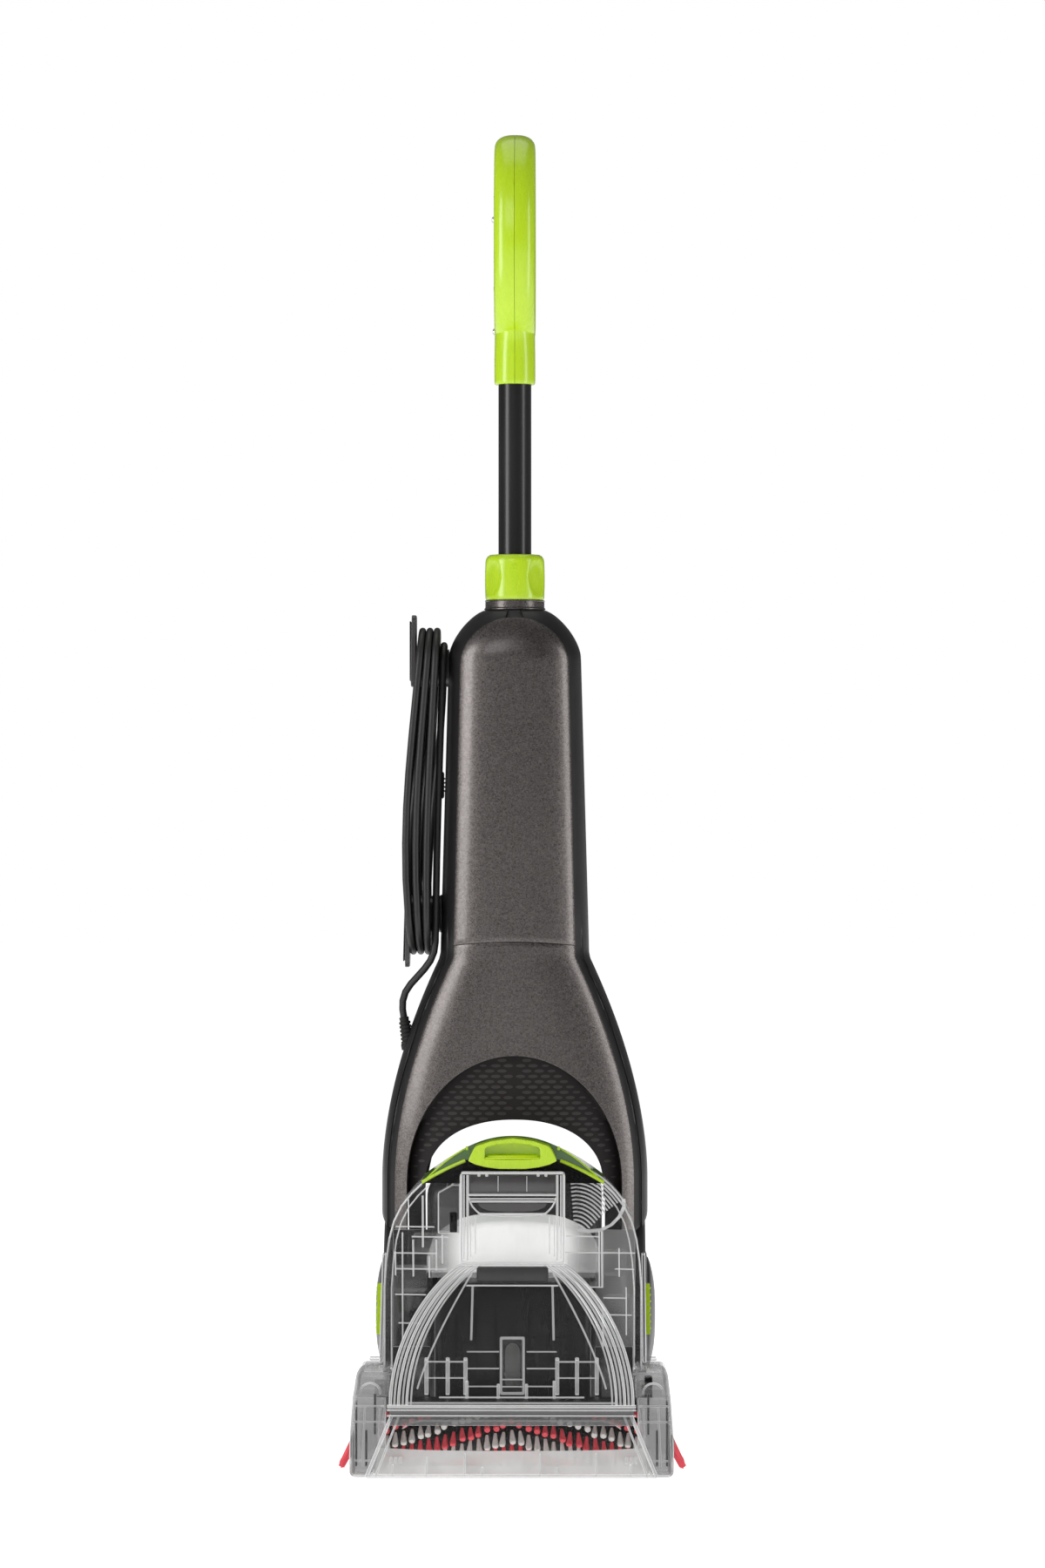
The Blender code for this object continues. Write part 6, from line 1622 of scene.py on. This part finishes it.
# ---- Air path of the tank: chimney and louvred separator --------------------------------------------------
# Dirty water rises through a flat clear chimney on the tank's front. A fan of curved louvres at its right
# slows the air and throws the water down.
chimney_low, chimney_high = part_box("chimney")
tower_front = chimney_low.y
window_dark = finish("window_dark", "black_plastic", moulded_paint((0.03, 0.028, 0.028),
    (0.06, 0.056, 0.055), 0.22), Specular_IOR_Level=0.7)
bm = bmesh.new()
prism(bm, round_rect(chimney_low.x, chimney_low.z, chimney_high.x, chimney_high.z, 0.003, 4), "Y",
    tower_front + 0.001, chimney_high.y)
lit(bm, level_edges(bm, 1), 0.001, 2, True)
piece("tower", bm, [clear, clear_rim_glow], "tank", ["chimney"], 40)
bm = bmesh.new()
block(bm, (-0.0365, tower_front + 0.004, 0.2305), (0.0365, tower_front + 0.008, 0.2462), 0.0012, 2)
prism(bm, [(-0.029, 0.2225), (-0.027, 0.219), (-0.02, 0.2162), (-0.008, 0.2152), (0.008, 0.2152),
    (0.02, 0.2162), (0.027, 0.219), (0.029, 0.2225)], "Y", tower_front + 0.002, tower_front + 0.006)
piece("tower_window", bm, [window_dark], "tank")
bm = bmesh.new()
for side in (-1, 1):
    for x, z_low, radius in ((0.0428, 0.174, 0.0011), (0.0405, 0.176, 0.0006), (0.0375, 0.1745, 0.001),
            (0.035, 0.178, 0.0005), (0.031, 0.18, 0.0006)):
        z_high = 0.246 if x > 0.036 else 0.212
        rod(bm, [(side * x, tower_front + 0.001, z_low), (side * x, tower_front + 0.001, z_high)], radius, 6)
    rod(bm, [(side * 0.012, tower_front + 0.0034, 0.232), (side * 0.012, tower_front + 0.0034, 0.245)],
        0.0003, 6)
    for x, z in ((0.0215, 0.2462), (0.028, 0.2462)):
        block(bm, (side * x - 0.0012, tower_front + 0.0005, z - 0.0014),
            (side * x + 0.0012, tower_front + 0.003, z + 0.0004), 0.0004, 1)
    bowl = [(side * (0.036 - 0.011 * share ** 2), tower_front + 0.0012, 0.227 - 0.015 * share)
        for share in (0.0, 0.25, 0.5, 0.75, 1.0)]
    rod(bm, bowl, 0.0008, 6, (0, 1, 0))
for z, half_x, radius in ((0.2478, 0.0425, 0.001), (0.2294, 0.037, 0.0009), (0.2262, 0.035, 0.0006),
        (0.224, 0.0345, 0.0009), (0.2136, 0.025, 0.0007)):
    bar(bm, -half_x, half_x, tower_front + 0.001, z, radius, 6)
dip = [(-0.029 + 0.058 * i / 16, tower_front + 0.0012, 0.2142 - 0.0026 * math.sin(math.pi * i / 16))
    for i in range(17)]
rod(bm, dip, 0.0008, 6, (0, 1, 0))
piece("tower_ribs", bm, [clear_rim_glow], "tank")

louvre_y = tank_front + 0.0035
bm = bmesh.new()
for i in range(15):
    share = i / 14
    inner = Vector((0.0475 + 0.004 * share, 0, 0.25 - 0.047 * share))
    outer = Vector((0.0925 - 0.03 * share, 0, 0.2235 - 0.0265 * share + 0.0022 * math.sin(math.pi * share)))
    points = []
    for step in range(9):
        along = step / 8
        spot = inner.lerp(outer, along)
        points.append((spot.x, louvre_y, spot.z + 0.0085 * (1 - 0.8 * share)
            * math.sin(math.pi * along) ** 0.8))
    rod(bm, points, 0.00078, 6, (0, 1, 0))
for offset, radius in ((0.0, 0.001), (0.0016, 0.0007)):
    wall = [(0.0925 + offset, louvre_y, 0.224), (0.0928 + offset, louvre_y, 0.217),
        (0.089 + offset, louvre_y, 0.209), (0.082 + offset, louvre_y, 0.202),
        (0.074, louvre_y, 0.1985 - offset), (0.064, louvre_y, 0.1975 - offset),
        (0.054, louvre_y, 0.199 - offset)]
    rod(bm, wall, radius, 6, (0, 1, 0))
piece("louvres", bm, [clear_rim_glow], "tank", ["air_separator"])
bm = bmesh.new()
for i in range(13):
    z = 0.248 - 0.0033 * i
    made = block(bm, (0.046, louvre_y - 0.0002, z - 0.0011), (0.056, louvre_y + 0.0012, z + 0.0004), 0.0003,
        1)
    for vert in made:
        vert.co.z += (vert.co.x - 0.046) * 0.35
        vert.co.x += 0.0035 * i / 12
piece("comb_slots", bm, [deep_black], "tank")


# ---- Tank lid, finger cup and latch -----------------------------------------------------------------------
# A translucent green lid closes the tank along its arched top. A lime cup at its front is the grip for
# lifting the tank out, and the latch lies inside the cup.
lid_low, lid_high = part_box("tank_lid")
LID_HALF = lid_high.x


def lid_top(x):
    return 0.2375 + 0.0397 * (1 - min(abs(x) / LID_HALF, 1.0) ** 2.1)


def deep_green(place):
    flow = place.noise(0.012, 3.0, (0.4, 1.0, 1.0))
    fine = place.noise(0.0007, 2.0)
    facing = place.node("LayerWeight", None, {"Blend": 0.4}, 1)
    # The tint lightens where the lid is seen edge on: a painted sheen, laid over a slow real flow in the
    # tint.
    return {"Base Color": place.between((0.016, 0.06, 0.01), (0.11, 0.28, 0.014),
        flow * 0.45 + facing * 0.55), "Roughness": 0.14 + 0.12 * flow,
        "Normal": place.bump(fine, 0.00005, 0.4)}


dark_green = finish("translucent_green", "dark_green_plastic", deep_green, Specular_IOR_Level=0.6,
    Coat_Weight=0.5, Coat_Roughness=0.06)
xs = [LID_HALF * (i / 24 - 1) for i in range(49)]
bm = bmesh.new()
prism(bm, [(x, lid_top(x)) for x in xs] + [(x, lid_base(x) + 0.0014) for x in reversed(xs)], "Y", lid_low.y,
    lid_high.y)
for vert in bm.verts:
    floor_z = lid_base(vert.co.x) + 0.0014
    fall = 0.62 * (vert.co.y - lid_low.y) / (lid_high.y - lid_low.y)
    vert.co.z = floor_z + (vert.co.z - floor_z) * (1 - fall)
soften(piece("lid_arch", bm, [dark_green], "tank", ["tank_lid"], 40), 0.0012, 3, 50)
bm = bmesh.new()
for side in (-1, 1):
    line = [(side * (0.04 + 0.0363 * i / 14), lid_low.y - 0.0008) for i in range(15)]
    rod(bm, [(x, y, lid_base(x) + 0.0014) for x, y in line], 0.0015, 8, (0, 1, 0))
    rod(bm, [(x, y + 0.0006, lid_top(x) - 0.0006) for x, y in line], 0.0007, 8, (0, 1, 0))
    block(bm, (side * 0.0385 - 0.0012, lid_low.y - 0.002, 0.265),
        (side * 0.0385 + 0.0012, lid_low.y + 0.002, 0.2682), 0.0005, 1)
piece("lid_edge", bm, [green_plastic], "tank")

cup_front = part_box("finger_cup")[0].y
rim = [(0.0372, 0.2575), (0.035, 0.2625), (0.0322, 0.268), (0.03, 0.2702), (0.018, 0.2742)]
sill = [(-0.031, 0.2545), (-0.022, 0.2522), (-0.011, 0.2508), (0.011, 0.2508), (0.022, 0.2522),
    (0.031, 0.2545)]
outer = rim + [(0.0, 0.2767)] + mirrored(rim) + sill
hollow = [(0.0232, 0.26), (0.0232, 0.263), (0.023, 0.2675), (0.0215, 0.2692), (0.012, 0.2716)]
inner = hollow + [(0.0, 0.2726)] + mirrored(hollow)
inner += [(-0.0225, 0.2594), (-0.015, 0.259), (-0.0075, 0.2588), (0.0075, 0.2588), (0.015, 0.259),
    (0.0225, 0.2594)]
bm = bmesh.new()
framed(bm, outer, inner, "Y", cup_front, cup_front + 0.024)
soften(piece("cup_frame", bm, [green_plastic], "tank", ["finger_cup"], 40), 0.0009, 3, 50)
# The cup's back and the latch glow faintly lime by emission: a painted glow for the light that shows through
# the cup.
lime_glow_green = finish("lime_painted_glow", "green_plastic", moulded_paint((0.46, 0.62, 0.006), (0.6, 0.78, 0.012),
    0.22, 0.0006), Specular_IOR_Level=0.5, Coat_Weight=0.4, Coat_Roughness=0.08, Emission_Strength=0.06,
    Emission_Color=(0.55, 0.8, 0.02, 1.0))
bm = bmesh.new()
prism(bm, inner, "Y", cup_front + 0.015, cup_front + 0.0175)
block(bm, (-0.0232, cup_front + 0.001, 0.259), (0.0232, cup_front + 0.016, 0.2604), 0.0006, 2)
piece("cup_back", bm, [lime_glow_green], "tank")
latch_low, latch_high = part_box("tank_latch")
bm = bmesh.new()
block(bm, latch_low, latch_high, 0.0012, 3)
for i in range(7):
    x = latch_low.x + 0.006 + i * (latch_high.x - latch_low.x - 0.012) / 6
    block(bm, (x - 0.0005, latch_low.y - 0.0006, latch_low.z + 0.002),
        (x + 0.0005, latch_low.y + 0.001, latch_high.z - 0.002), 0.0002, 1)
piece("latch_bar", bm, [lime_glow_green], "tank_latch", ["tank_latch"])


# ---- Power rocker -----------------------------------------------------------------------------------------
# A red rocker with a dished, satin face. It is moulded in one piece, and turns on a pin inside the switch.
rocker_low, rocker_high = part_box("power_switch")
red_plastic = finish("red_plastic", "red_plastic", moulded_paint((0.36, 0.008, 0.006), (0.52, 0.014, 0.01),
    0.26, 0.0005), Specular_IOR_Level=0.5)
bm = bmesh.new()
face = [(rocker_low.y, rocker_low.z), (rocker_high.y, rocker_low.z)]
face += [(rocker_high.y - 0.0022 * math.sin(math.pi * i / 12), rocker_low.z + (rocker_high.z - rocker_low.z)
    * i / 12) for i in range(1, 12)]
face += [(rocker_high.y, rocker_high.z), (rocker_low.y, rocker_high.z)]
prism(bm, face, "X", rocker_low.x, rocker_high.x)
soften(piece("rocker", bm, [red_plastic], "power_switch", ["power_switch"], 30), 0.0006)


# ---- The measured box, and the end ------------------------------------------------------------------------
low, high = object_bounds()
